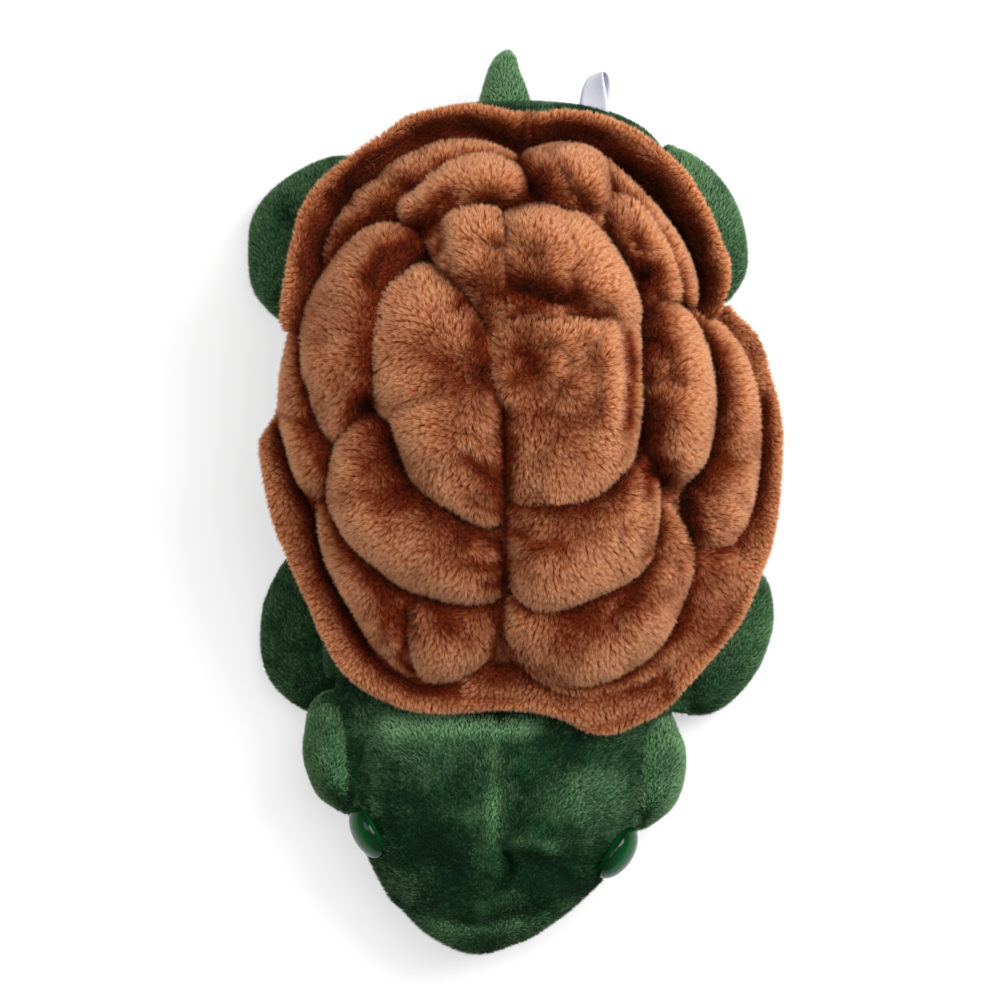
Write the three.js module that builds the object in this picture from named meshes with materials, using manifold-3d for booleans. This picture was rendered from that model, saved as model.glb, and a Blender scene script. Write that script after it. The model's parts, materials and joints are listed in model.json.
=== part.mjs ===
// Plush turtle glove puppet: a quilted, stuffed shell in three tiers of lobes on a glove body, with a
// head and a lower jaw for the fingers and thumb, four stuffed flippers and a tail.
// Millimetres, +Z up, standing on its belly, head towards -Y and tail towards +Y.
import * as THREE from 'three';
import { mergeVertices } from 'three/addons/utils/BufferGeometryUtils.js';
import Module from 'manifold-3d';

const wasm = await Module();
wasm.setup();

// Gaps between sewn pieces, and how far a cutting block runs past what it cuts
const clearance = 0.35;
const overrun = 4;

// Glove body
const bodyWidth = 121;
const bodyHeight = 49;
const bodyFront = -50;
const bodyLength = 183;
const sidePadding = 12;
const bellyPadding = 6;
const backPadding = 9;
const rumpPadding = 14;
const handOpeningLength = 46;
const handOpeningWidth = 90;
const liningThickness = 1;
const hemWidth = 3.5;
const hemHeight = 4;

// Shell
const shellWidth = 170;
const shellLength = 203;
const shellMiddle = 30;
const shellTop = 99;
const undersideThickness = 2;
const fillingRise = 27;
const rimThickness = 7;

// Neck sleeve, which turns in the body and nods in the head
const neckPlace = -56;
const neckLevel = 25;
const neckHalfWidth = 52.5;
const neckHalfHeight = 20;
const neckHalfLength = 13;
const neckThickness = 2.5;
const neckClearance = 0.5;
const neckHoleDepth = 7;
const headTurn = -5.5;

// Head and jaw
const headReach = 94;
const headWidth = 106;
const headRise = 25.5;
const collarLength = 4.5;
const collarStart = 11;
const clothThickness = 3;
const mouthLevel = 1;
const mouthCorner = 30;
const palateThickness = 2;
const lipGap = 0.6;
const jawCornerGap = 1;
const throatLength = 6;
const cheekWidth = 30;
const cheekLength = 38;
const cheekHeight = 38;
const eyeDiameter = 20;
const eyeHeight = 7;
const eyeSink = 1.6;
const shankDiameter = 4;
const shankLength = 8;
const washerDiameter = 11;
const washerThickness = 1.2;

// Flippers and tail
const flipperReach = 27;
const flipperLength = 56;
const flipperThickness = 24;
const flipperCloth = 1.3;
const seamGap = 0.8;
const tailLength = 17.5;
const tailDiameter = 17;
const tailAside = -3;
const tailBend = 3;
const flattening = 0.5;

// Label
const labelWidth = 9;
const labelLength = 12;
const labelThickness = 0.5;

// How finely the soft forms are faceted
const ringPoints = 16;
const leafPoints = 12;
const lobeSides = 11;
const lobeRings = 6;

const colours = { shell: 0x9d5b38, green: 0x2f5a37, lining: 0x2b3a2e, filling: 0xe9e4d8, plastic: 0x0a4a20,
  label: 0xf1efec };

const turtle = new THREE.Group();

// Solids from closed geometry, and geometry from solids
function signedVolume(positions, faces) {
  const [a, b, c] = [new THREE.Vector3(), new THREE.Vector3(), new THREE.Vector3()];
  let sum = 0;
  for (let i = 0; i < faces.length; i += 3) {
    a.fromArray(positions, 3 * faces[i]);
    b.fromArray(positions, 3 * faces[i + 1]);
    c.fromArray(positions, 3 * faces[i + 2]);
    sum += a.dot(b.cross(c));
  }
  return sum;
}

function solid(geometry) {
  const bare = geometry.clone();
  bare.deleteAttribute('normal');
  bare.deleteAttribute('uv');
  const merged = mergeVertices(bare);
  const vertProperties = Float32Array.from(merged.attributes.position.array);
  const triVerts = Uint32Array.from(merged.index.array);
  if (signedVolume(vertProperties, triVerts) < 0) triVerts.reverse();
  return new wasm.Manifold(new wasm.Mesh({ numProp: 3, vertProperties, triVerts }));
}

function largest(shape) {
  return shape.decompose().reduce((best, part) => (part.volume() > best.volume() ? part : best));
}

function addPiece(name, shape, colour, parent = turtle, roughness = 0.95) {
  const mesh = shape.getMesh();
  const geometry = new THREE.BufferGeometry();
  geometry.setAttribute('position', new THREE.BufferAttribute(Float32Array.from(mesh.vertProperties), 3));
  geometry.setIndex(new THREE.BufferAttribute(Uint32Array.from(mesh.triVerts), 1));
  geometry.computeVertexNormals();
  const material = new THREE.MeshStandardMaterial({ color: colour, roughness, metalness: 0 });
  const piece = new THREE.Mesh(geometry, material);
  piece.name = name;
  parent.add(piece);
  return piece;
}

// Closed skin through rings of points, fanned to the middle of each end ring
function loft(rings) {
  const count = rings[0].length;
  const points = rings.flat();
  const faces = [];
  const last = (rings.length - 1) * count;
  for (let start = 0; start < last; start += count) {
    for (let i = 0; i < count; i += 1) {
      const next = (i + 1) % count;
      const [aheadNext, ahead] = [start + count + next, start + count + i];
      faces.push(start + i, start + next, aheadNext, start + i, aheadNext, ahead);
    }
  }
  for (const [start, flip] of [[0, true], [last, false]]) {
    const middle = new THREE.Vector3();
    points.slice(start, start + count).forEach((point) => middle.addScaledVector(point, 1 / count));
    const hub = points.push(middle) - 1;
    for (let i = 0; i < count; i += 1) {
      const pair = [start + i, start + ((i + 1) % count)];
      faces.push(hub, ...(flip ? pair.reverse() : pair));
    }
  }
  const geometry = new THREE.BufferGeometry().setFromPoints(points);
  geometry.setIndex(faces);
  return solid(geometry);
}

// Rounded box section across Y, with a true flat at its foot, top and sides
function crossSection(y, halfWidth, low, high, softness) {
  const fit = Math.cos(Math.PI / ringPoints) ** softness;
  const points = [];
  for (let i = 0; i < ringPoints; i += 1) {
    const angle = ((i + 1 / 2) * 2 * Math.PI) / ringPoints;
    const [across, up] = [Math.cos(angle), Math.sin(angle)];
    points.push(new THREE.Vector3(
      (halfWidth * Math.sign(across) * Math.abs(across) ** softness) / fit,
      y,
      (low + high) / 2 + ((high - low) / 2) * (Math.sign(up) * Math.abs(up) ** softness) / fit,
    ));
  }
  return points;
}

// Block between two corners, for cutting
function block(low, high) {
  const size = new THREE.Vector3().subVectors(high, low);
  const box = new THREE.BoxGeometry(size.x, size.y, size.z);
  return solid(box.translate(...new THREE.Vector3().addVectors(low, high).divideScalar(2).toArray()));
}

const far = bodyLength;
const corner = (x, y, z) => new THREE.Vector3(x, y, z);
const above = (z) => block(corner(-far, -far, z), corner(far, far, far));
const below = (z) => block(corner(-far, -far, -far), corner(far, far, z));

// Glove body: one padded tube, cut into its sewn panels
// Each station: how far along, its width, its foot and top, and how round its corners are
const bodyShares = [[0, 0.97, 0, 1, 0.45], [0.09, 0.99, 0, 1, 0.46], [0.24, 1, 0, 1, 0.5],
  [0.46, 0.99, 0, 1, 0.53], [0.7, 0.95, 0, 1, 0.53], [0.86, 0.86, 0.01, 0.98, 0.58],
  [0.95, 0.72, 0.09, 0.9, 0.66], [1, 0.5, 0.24, 0.74, 0.75]];
const bodySoftnessShare = 0.45;
const rumpEnd = bodyFront + bodyLength;
const bodyTube = loft(bodyShares.map(([along, wide, low, high, softness]) => crossSection(
  bodyFront + along * bodyLength, (wide * bodyWidth) / 2, low * bodyHeight, high * bodyHeight, softness)));

const pocketEnd = rumpEnd - rumpPadding;
const pocketTop = bodyHeight - backPadding;
const neckHole = { wide: neckHalfWidth + neckClearance, high: neckHalfHeight + neckClearance };
const neckHoleEnd = neckPlace + neckHalfLength + neckHoleDepth;
const pocketStart = neckHoleEnd + sidePadding;
const pocketHalfWidth = bodyWidth / 2 - sidePadding;
const pocketTaperShare = 0.9;

function pocket(inset, from, to) {
  const narrow = pocketHalfWidth * pocketTaperShare - inset;
  const [low, high] = [bellyPadding + inset, pocketTop - inset];
  const front = crossSection(from, pocketHalfWidth - inset, low, high, bodySoftnessShare);
  const rear = crossSection(to, narrow, low, high, bodySoftnessShare);
  return [front, rear];
}

const neckTunnel = [bodyFront - overrun, neckHoleEnd].map((y) => crossSection(y, neckHole.wide,
  neckLevel - neckHole.high, neckLevel + neckHole.high, bodySoftnessShare));
const handHollow = loft([...neckTunnel, ...pocket(0, pocketStart, pocketEnd)]);
const openingEnd = pocketEnd - bellyPadding;
const openingStart = openingEnd - handOpeningLength;
const openingHalf = handOpeningWidth / 2;
const handOpening = block(corner(-openingHalf, openingStart, -overrun), corner(openingHalf, openingEnd,
  bellyPadding + overrun));
const bodyWall = bodyTube.subtract(handHollow).subtract(handOpening);

// The panels meet at seams, each half a clearance from the seam line
const seam = clearance / 2;
const sideSeam = openingHalf + clearance;
const bellySeam = bellyPadding + liningThickness + clearance;
const backSeam = pocketTop - liningThickness - clearance;
const rumpSeam = pocketEnd - rumpPadding / 2;
const bellyFront = block(corner(seam - sideSeam, -far, -overrun),
  corner(sideSeam - seam, openingStart, bellySeam - seam));
const bellyTop = block(corner(-sideSeam - seam, -far, -overrun),
  corner(sideSeam + seam, far, bellySeam + seam));
addPiece('belly_panel', bodyWall.intersect(bellyFront), colours.green);
for (const [side, sign] of [['left', -1], ['right', 1]]) {
  const near = sign * (sideSeam + seam);
  const wide = sign * far;
  const middle = sign * seam;
  const low = block(corner(Math.min(near, wide), -far, -overrun),
    corner(Math.max(near, wide), rumpSeam - seam, bellySeam + seam));
  const high = block(corner(Math.min(middle, wide), -far, bellySeam),
    corner(Math.max(middle, wide), rumpSeam - seam, backSeam - seam));
  const cut = low.add(high.subtract(bellyTop));
  addPiece(`side_panel_${side}`, largest(bodyWall.intersect(cut)), colours.green);
}

const backCut = block(corner(-far, -far, backSeam + seam), corner(far, rumpSeam - seam, far));
addPiece('back_panel', bodyWall.intersect(backCut), colours.green);
const rumpCut = block(corner(-far, rumpSeam + seam, -overrun), corner(far, far, far));
addPiece('rump_panel', largest(bodyWall.intersect(rumpCut)), colours.green);

// Pocket lining: a thin sleeve that the panels back all over, cut at the hand opening
const liningStart = pocketStart + clearance;
const liningEnd = rumpSeam;
const lining = loft(pocket(clearance, liningStart, liningEnd))
  .subtract(loft(pocket(clearance + liningThickness, liningStart - overrun, liningEnd + overrun)));
addPiece('pocket_lining', lining.subtract(handOpening), colours.lining);

// Hem round the hand opening
const hemRoundingShare = 0.16;
function roundedFrame(halfWidth, halfLength, rounding, kind) {
  const outline = new kind();
  outline.absarc(halfWidth - rounding, halfLength - rounding, rounding, 0, Math.PI / 2);
  outline.absarc(rounding - halfWidth, halfLength - rounding, rounding, Math.PI / 2, Math.PI);
  outline.absarc(rounding - halfWidth, rounding - halfLength, rounding, Math.PI, (3 * Math.PI) / 2);
  outline.absarc(halfWidth - rounding, rounding - halfLength, rounding, (3 * Math.PI) / 2, 2 * Math.PI);
  outline.closePath();
  return outline;
}

const hemRounding = hemRoundingShare * handOpeningWidth;
const hemHalfWidth = openingHalf - clearance;
const hemHalfLength = handOpeningLength / 2 - clearance;
const hemOutline = roundedFrame(hemHalfWidth, hemHalfLength, hemRounding, THREE.Shape);
hemOutline.holes.push(roundedFrame(hemHalfWidth - hemWidth, hemHalfLength - hemWidth, hemRounding - hemWidth,
  THREE.Path));
const hem = new THREE.ExtrudeGeometry(hemOutline, { depth: hemHeight, bevelEnabled: false, curveSegments: 3 });
addPiece('pocket_hem', solid(hem.translate(0, (openingStart + openingEnd) / 2, 0)), colours.lining);

// Shell underside, the filling that carries the lobes, and their common plan
const shellHalf = { x: shellWidth / 2, y: shellLength / 2 };
const undersideShare = 0.84;
const fillingShare = 0.8;
const undersideBottom = bodyHeight + clearance;
const undersideTop = undersideBottom + undersideThickness;
const fillingBottom = undersideTop + clearance;
const planSides = 28;

function shellPlan(share, z) {
  const points = [];
  for (let i = 0; i < planSides; i += 1) {
    const angle = (i * 2 * Math.PI) / planSides;
    points.push(corner(share * shellHalf.x * Math.cos(angle),
      shellMiddle + share * shellHalf.y * Math.sin(angle), z));
  }
  return points;
}

const underside = [undersideBottom, undersideTop].map((z) => shellPlan(undersideShare, z));
addPiece('shell_underside', loft(underside), colours.lining);

const fillingShares = [[1, 0], [0.98, 0.2], [0.9, 0.46], [0.72, 0.72], [0.45, 0.92], [0.16, 1]];
function filling(grow) {
  return loft(fillingShares.map(([wide, up]) => shellPlan(fillingShare * wide + grow / shellHalf.x,
    fillingBottom - grow + up * (fillingRise + 2 * grow))));
}
addPiece('shell_filling', filling(0), colours.filling);

// Rim flange: a padded section swept along the edge, standing up more towards the rear
const rimInnerShare = 0.815;
const rimSectionSides = 8;
const rimLengths = [
  { name: 'rim_front', from: -183, to: 3, lift: 0.34, reach: 1.01, steps: 18 },
  { name: 'rim_rear_left', from: 176, to: 91, lift: 0.85, reach: 1.06, steps: 9 },
  { name: 'rim_rear_right', from: 6, to: 89, lift: 0.85, reach: 1.06, steps: 9 },
];
const rimGapTurn = THREE.MathUtils.radToDeg(clearance / shellHalf.x);

function rimSection(turn, lift, reach, grow) {
  const angle = THREE.MathUtils.degToRad(turn);
  const outward = new THREE.Vector2(shellHalf.x * Math.cos(angle), shellHalf.y * Math.sin(angle));
  const width = (reach - rimInnerShare) * shellHalf.x;
  const half = rimThickness / 2;
  const inner = corner(rimInnerShare * outward.x, shellMiddle + rimInnerShare * outward.y,
    fillingBottom + half / 2);
  const flat = corner(outward.x, outward.y, 0).normalize();
  const along = flat.clone().setZ(lift).normalize();
  const up = flat.clone().multiplyScalar(-along.z).setZ(Math.hypot(along.x, along.y)).normalize();
  const points = [];
  for (let i = 0; i < rimSectionSides; i += 1) {
    const round = (i * 2 * Math.PI) / rimSectionSides;
    const across = width / 2 - (width / 2 + grow) * Math.cos(round);
    const raised = (half + grow) * Math.sin(round);
    points.push(inner.clone().addScaledVector(along, across).addScaledVector(up, raised));
  }
  return points;
}

function rim({ from, to, lift, reach, steps }, grow) {
  const trim = Math.sign(to - from) * (rimGapTurn - THREE.MathUtils.radToDeg(grow / shellHalf.x));
  const rings = [];
  for (let step = 0; step <= steps; step += 1) {
    rings.push(rimSection(THREE.MathUtils.lerp(from + trim, to - trim, step / steps), lift, reach, grow));
  }
  return loft(rings);
}

const rims = rimLengths.map((length) => (
  { name: length.name, shape: rim(length, 0), grown: rim(length, clearance) }));
const shellFloor = below(fillingBottom);

// Lobes: bent, swollen pillows, placed in shares of the shell. turn is the heading of the long axis,
// lean tips the lobe outwards from upright, bend curves its ends round the shell.
const lobeRise = shellTop - fillingBottom;
const lobeShares = [
  { name: 'crown_left_upper', at: [-0.36, 0.25, 0.67], size: [0.25, 0.25, 0.3], turn: 70, lean: 22, bend: 0.1 },
  { name: 'crown_dome', at: [0.17, 0.44, 0.69], size: [0.27, 0.25, 0.29], turn: 60, lean: 16, bend: 0.08 },
  { name: 'crown_left_lower', at: [-0.22, -0.14, 0.68], size: [0.26, 0.24, 0.32], turn: 115, lean: 12, bend: 0.1 },
  { name: 'crown_middle', at: [0.2, 0.12, 0.7], size: [0.29, 0.26, 0.27], turn: 80, lean: 6, bend: 0.06 },
  { name: 'crown_ridge', at: [-0.14, 0.5, 0.7], size: [0.2, 0.13, 0.27], turn: 75, lean: 20, bend: 0.05 },
  { name: 'crown_roll', at: [0.2, -0.2, 0.66], size: [0.25, 0.16, 0.29], turn: 5, lean: 18, bend: 0.12 },
  { name: 'mid_left', at: [-0.62, 0.26, 0.46], size: [0.4, 0.2, 0.27], turn: 92, lean: 46, bend: 0.2 },
  { name: 'mid_left_front', at: [-0.4, -0.36, 0.48], size: [0.4, 0.24, 0.29], turn: -38, lean: 42, bend: 0.22 },
  { name: 'mid_right', at: [0.62, 0.1, 0.46], size: [0.36, 0.17, 0.27], turn: 86, lean: 46, bend: 0.16 },
  { name: 'mid_right_front', at: [0.26, -0.48, 0.46], size: [0.34, 0.22, 0.28], turn: 18, lean: 40, bend: 0.18 },
  { name: 'mid_rear_left', at: [-0.22, 0.74, 0.46], size: [0.34, 0.17, 0.26], turn: 8, lean: 38, bend: 0.16 },
  { name: 'mid_rear_right', at: [0.2, 0.77, 0.44], size: [0.2, 0.15, 0.25], turn: -10, lean: 38, bend: 0.1 },
  { name: 'mid_right_rear', at: [0.48, 0.52, 0.5], size: [0.26, 0.17, 0.24], turn: -62, lean: 40, bend: 0.12 },
  { name: 'outer_left', at: [-0.77, 0.02, 0.24], size: [0.4, 0.13, 0.2], turn: 96, lean: 62, bend: 0.16 },
  { name: 'outer_left_front', at: [-0.56, -0.6, 0.24], size: [0.26, 0.14, 0.22], turn: -46, lean: 50, bend: 0.14 },
  { name: 'outer_front', at: [-0.14, -0.76, 0.26], size: [0.2, 0.15, 0.23], turn: -8, lean: 46, bend: 0.08 },
  { name: 'outer_right_front', at: [0.36, -0.7, 0.25], size: [0.38, 0.16, 0.23], turn: 26, lean: 48, bend: 0.22 },
  { name: 'outer_right', at: [0.79, 0.02, 0.24], size: [0.42, 0.14, 0.21], turn: 85, lean: 60, bend: 0.18 },
  { name: 'outer_rear_left', at: [-0.46, 0.7, 0.24], size: [0.34, 0.12, 0.2], turn: 46, lean: 50, bend: 0.2 },
  { name: 'outer_rear_right', at: [0.5, 0.72, 0.24], size: [0.3, 0.12, 0.2], turn: -48, lean: 50, bend: 0.2 },
];
const pillowFullnessShare = 0.82;
const plumpShare = 1.17;

function lobe({ at, size, turn, lean, bend }, grow) {
  const geometry = new THREE.SphereGeometry(1, lobeSides, lobeRings);
  const places = geometry.attributes.position;
  const plump = plumpShare * shellHalf.x;
  const half = corner(plump * size[0], plump * size[1], size[2] * lobeRise).addScalar(grow);
  const full = (share) => Math.sign(share) * Math.abs(share) ** pillowFullnessShare;
  const outward = new THREE.Vector2(at[0] * shellHalf.x, at[1] * shellHalf.y);
  const heading = THREE.MathUtils.degToRad(turn);
  const inwardSide = Math.sign(-Math.sin(heading) * outward.x + Math.cos(heading) * outward.y) || 1;
  const tilt = new THREE.Quaternion().setFromAxisAngle(
    corner(-outward.y, outward.x, 0).normalize(), THREE.MathUtils.degToRad(lean));
  const spin = new THREE.Quaternion().setFromAxisAngle(corner(0, 0, 1), heading);
  const middle = corner(outward.x, shellMiddle + outward.y, fillingBottom + at[2] * lobeRise);
  const pose = new THREE.Matrix4().compose(middle, tilt.multiply(spin), corner(1, 1, 1));
  for (let i = 0; i < places.count; i += 1) {
    const along = full(places.getX(i));
    const point = corner(along * half.x, full(places.getZ(i)) * half.y, full(places.getY(i)) * half.z);
    point.y -= inwardSide * bend * shellHalf.x * along * along;
    places.setXYZ(i, ...point.applyMatrix4(pose).toArray());
  }
  return solid(geometry);
}

const packing = filling(clearance);
const settled = [packing, shellFloor, ...rims.map(({ grown }) => grown)];
for (const shares of lobeShares) {
  const trimmed = settled.reduce((shape, neighbour) => shape.subtract(neighbour), lobe(shares, 0));
  addPiece(shares.name, largest(trimmed), colours.shell);
  settled.push(lobe(shares, clearance));
}
rims.forEach(({ name, shape }) => addPiece(name, shape.subtract(packing).subtract(shellFloor), colours.shell));

// Head group: everything is measured from the middle of the neck, which the head turns and nods about
const head = new THREE.Group();
head.position.set(0, neckPlace, neckLevel);
head.rotation.z = THREE.MathUtils.degToRad(headTurn);
turtle.add(head);

// Neck sleeve: its sides are round about the upright axis and its top and foot about the nodding axis
const neckSoftnessShare = 0.4;
const neckStationShares = [-1, -0.5, 0, 0.5, 1];
function neckSkin(inset, stretch) {
  return loft(neckStationShares.map((station) => {
    const y = station * neckHalfLength;
    const halfWidth = Math.sqrt(neckHalfWidth ** 2 - y ** 2) - inset;
    const halfHeight = Math.sqrt(neckHalfHeight ** 2 - y ** 2) - inset;
    return crossSection(y * stretch, halfWidth, -halfHeight, halfHeight, neckSoftnessShare);
  }));
}
const longer = 1 + overrun / neckHalfLength;
addPiece('neck_sleeve', neckSkin(0, 1).subtract(neckSkin(neckThickness, longer)), colours.green, head);

// Head collar: it hugs the sleeve above and below, and is straight at the sides
function collarHole(y) {
  const reach = neckHalfHeight + neckClearance;
  const high = Math.sqrt(Math.max(reach ** 2 - y ** 2, 0));
  return crossSection(y, neckHole.wide, -high, high, neckSoftnessShare);
}
const collarEnd = -collarStart - collarLength;
const collarHalf = { wide: neckHole.wide + clothThickness, low: -neckLevel + flattening,
  high: neckLevel - flattening };
const collarOuter = [-collarStart, collarEnd].map((y) => crossSection(y, collarHalf.wide, collarHalf.low,
  collarHalf.high, bodySoftnessShare));
const collarInner = [-collarStart + clearance, -collarStart, (collarEnd - collarStart) / 2, collarEnd,
  collarEnd - clearance].map(collarHole);
addPiece('head_collar', loft(collarOuter).subtract(loft(collarInner)), colours.green, head);

// Crown and jaw outlines, from the nose backwards
const crownStart = collarEnd - clearance;
const crownLength = headReach + crownStart;
const crownStationShares = [0, 0.03, 0.1, 0.22, 0.38, 0.56, 0.78, 1];
const crownSoftnessShare = 0.62;
const crownRiseShares = [0.2, 0.36, 0.52, 0.68, 0.84, 0.96, 1, 0.86];
const jawDropShares = [0.3, 0.5, 0.72, 0.9, 1, 1, 0.98, 0.78];

const outlineShare = (back) => Math.max(1 - (1 - back) ** 2, 0) ** crownSoftnessShare;
const noseShare = 0.08;
const palateTop = mouthLevel + clearance + palateThickness;
const crownFoot = palateTop + clearance;

function crownSkin(inset, behind) {
  return loft(crownStationShares.map((back, i) => {
    const y = back * (crownLength - inset) - headReach + inset + (back === 1 ? behind : 0);
    const halfWidth = Math.max((headWidth / 2) * Math.max(outlineShare(back), noseShare) - inset, clearance);
    const rise = Math.max(headRise * crownRiseShares[i] - inset, clearance);
    return crossSection(y, halfWidth, crownFoot - rise, crownFoot + rise, crownSoftnessShare);
  }));
}

const crownOuter = crownSkin(0, 0);
const crownHollow = crownSkin(clothThickness, overrun);

// Eyes: a dome let onto the cloth, its shank through it, and a lock washer behind it
const eyeBackShare = 0.48;
const eyeLevelShare = 0.27;
const eyeTurn = 28;
const eyeLift = 12;
const eyeSides = 20;
const washerDepth = clothThickness + washerThickness;

function alongEye(sign) {
  const y = eyeBackShare * crownLength - headReach;
  const upShare = eyeLevelShare ** (1 / crownSoftnessShare);
  const x = (headWidth / 2) * outlineShare(eyeBackShare) * Math.sqrt(1 - upShare ** 2) ** crownSoftnessShare;
  const rise = headRise * crownRiseShares[4];
  const facing = corner(sign, 0, 0)
    .applyAxisAngle(corner(0, 0, 1), THREE.MathUtils.degToRad(-sign * eyeTurn))
    .applyAxisAngle(corner(0, 1, 0), THREE.MathUtils.degToRad(-sign * eyeLift));
  const place = corner(sign * x, y, crownFoot + eyeLevelShare * rise);
  const turn = new THREE.Quaternion().setFromUnitVectors(corner(0, 0, 1), facing);
  return new THREE.Matrix4().compose(place, turn, corner(1, 1, 1));
}

function shank(radius, depth, sign) {
  const rod = new THREE.CylinderGeometry(radius, radius, depth, eyeSides / 2);
  rod.rotateX(Math.PI / 2).translate(0, 0, eyeSink - depth / 2);
  return solid(rod.applyMatrix4(alongEye(sign)));
}

function eyeDome(sign) {
  const ball = new THREE.SphereGeometry(1, eyeSides, eyeSides / 2);
  ball.rotateX(Math.PI / 2).scale(eyeDiameter / 2, eyeDiameter / 2, eyeHeight + eyeSink);
  ball.translate(0, 0, -eyeSink);
  const cup = new THREE.BoxGeometry(eyeDiameter, eyeDiameter, eyeDiameter);
  cup.translate(0, 0, eyeDiameter / 2 - 2 * eyeSink);
  return solid(ball.applyMatrix4(alongEye(sign))).intersect(solid(cup.applyMatrix4(alongEye(sign))));
}

function washerDisc(sign, radius, thickness) {
  const disc = new THREE.CylinderGeometry(radius, radius, thickness, eyeSides / 2).rotateX(Math.PI / 2);
  disc.translate(0, 0, -washerDepth - washerThickness / 2);
  return solid(disc.applyMatrix4(alongEye(sign)));
}

function washer(sign) {
  const hole = washerDisc(sign, shankDiameter / 2 + clearance, washerThickness + overrun);
  return washerDisc(sign, washerDiameter / 2, washerThickness).subtract(hole);
}

const crownGrown = crownSkin(-clearance, clearance);
let crown = crownOuter.subtract(crownHollow).intersect(above(crownFoot));
for (const sign of [-1, 1]) {
  const washerSeat = washerDisc(sign, washerDiameter / 2 + clearance, washerThickness + 2 * clearance);
  const shankHole = shank(shankDiameter / 2 + clearance, shankLength + overrun, sign);
  crown = crown.subtract(shankHole).subtract(washerSeat);
}
addPiece('head_crown', largest(crown), colours.green, head);

for (const [side, sign] of [['left', -1], ['right', 1]]) {
  const dome = eyeDome(sign).subtract(crownGrown);
  const eye = largest(dome).add(shank(shankDiameter / 2, shankLength, sign));
  addPiece(`eye_${side}`, largest(eye), colours.plastic, head, 0.12);
  addPiece(`eye_washer_${side}`, washer(sign), colours.filling, head, 0.5);
}

// Flat plates that follow the mouth's outline: the palate above and the floor of the mouth below
function mouthPlate(low, high, widthShare, start) {
  const slice = block(corner(-far, -far, crownFoot), corner(far, start, crownFoot + clearance));
  const outline = crownSkin(0, 0).intersect(slice);
  const thin = new THREE.Matrix4().makeScale(widthShare, 1, (high - low) / clearance);
  thin.setPosition(0, 0, low - (crownFoot * (high - low)) / clearance);
  return outline.transform(thin.elements);
}

const jawWidthShare = 0.86;
const floorTop = mouthLevel - lipGap;
const floorBottom = floorTop - palateThickness;
const roof = mouthPlate(mouthLevel, mouthLevel + palateThickness, 1, -mouthCorner);
addPiece('mouth_roof', roof, colours.green, head);
const floor = mouthPlate(floorBottom, floorTop, jawWidthShare, -mouthCorner);
addPiece('mouth_floor', floor, colours.green, head);

// Lower jaw: a trough, open above and behind for the thumb
const jawTop = floorBottom - clearance;
const jawFoot = -neckLevel - flattening;
const jawStart = -mouthCorner - jawCornerGap;
const jawLength = headReach + jawStart - flattening;
function jawSkin(inset, behind) {
  return loft(crownStationShares.map((back, i) => {
    const y = back * (jawLength - inset) - headReach + flattening + inset + (back === 1 ? behind : 0);
    const wide = Math.max(outlineShare(back * jawLength / crownLength), noseShare);
    const halfWidth = Math.max(jawWidthShare * (headWidth / 2) * wide - inset, clearance);
    const drop = Math.max((jawTop - jawFoot) * jawDropShares[i] - inset, clearance);
    return crossSection(y, halfWidth, jawTop - drop, jawTop + drop, bodySoftnessShare);
  }));
}
const jawShell = jawSkin(0, 0).subtract(jawSkin(clothThickness, overrun));
const jaw = jawShell.intersect(below(jawTop)).intersect(above(-neckLevel));
addPiece('lower_jaw', largest(jaw), colours.green, head);

// Cheek gussets: round lobes at the back of the head, outside the jaw
const cheekPlaceShares = [0.92, 0.93];
const jawSide = (jawWidthShare * headWidth) / 2 + seamGap;
for (const [side, sign] of [['left', -1], ['right', 1]]) {
  const ball = new THREE.SphereGeometry(1, lobeSides, lobeRings).rotateX(Math.PI / 2);
  ball.scale(cheekWidth / 2, cheekLength / 2, cheekHeight / 2);
  ball.translate(sign * cheekPlaceShares[0] * (headWidth / 2), -cheekPlaceShares[1] * mouthCorner,
    -clothThickness);
  const jawRoom = block(corner(-jawSide, -far, -far), corner(jawSide, far, far));
  const collarRoom = block(corner(-far, collarEnd - clearance, -far), corner(far, far, far));
  const lowerCheek = solid(ball).subtract(jawRoom).subtract(collarRoom).subtract(crownGrown);
  addPiece(`cheek_${side}`, largest(lowerCheek), colours.green, head);
}

// Throat panel, between the collar and the jaw's sweep
const throatWidthShare = 0.62;
const throatHalf = (throatWidthShare * headWidth) / 2;
const throatFoot = collarHalf.low + clearance;
const throat = block(corner(-throatHalf, collarEnd - clearance - throatLength, throatFoot),
  corner(throatHalf, collarEnd - clearance, throatFoot + clothThickness));
addPiece('throat_panel', throat, colours.green, head);

// Flippers: stuffed leaves, thin at the sewn root, cut flat where they lie
const leafShares = [[0, 0.5, 0.05], [0.05, 0.58, 0.2], [0.2, 0.78, 0.66], [0.45, 0.98, 1], [0.7, 0.94, 0.92],
  [0.9, 0.64, 0.62], [1, 0.3, 0.24]];
const leafSweepShare = 0.16;
const flipperMiddle = flipperThickness / 2 - flattening;

function leaf({ rootX, middleY, sign, sweep, reach }, inset) {
  return loft(leafShares.map(([out, wide, thick]) => {
    const x = rootX + sign * (seamGap + inset * (1 - 2 * out) + out * reach);
    const leafMiddle = middleY + sweep * leafSweepShare * flipperLength * out;
    const halfLength = Math.max((wide * flipperLength) / 2 - inset, clearance / 2);
    const halfThick = Math.max((thick * flipperThickness) / 2 - inset, clearance / 2);
    const points = [];
    for (let i = 0; i < leafPoints; i += 1) {
      const angle = (i * 2 * Math.PI) / leafPoints;
      points.push(corner(x, leafMiddle + halfLength * Math.cos(angle), flipperMiddle + halfThick * Math.sin(angle)));
    }
    return points;
  }));
}

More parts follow.
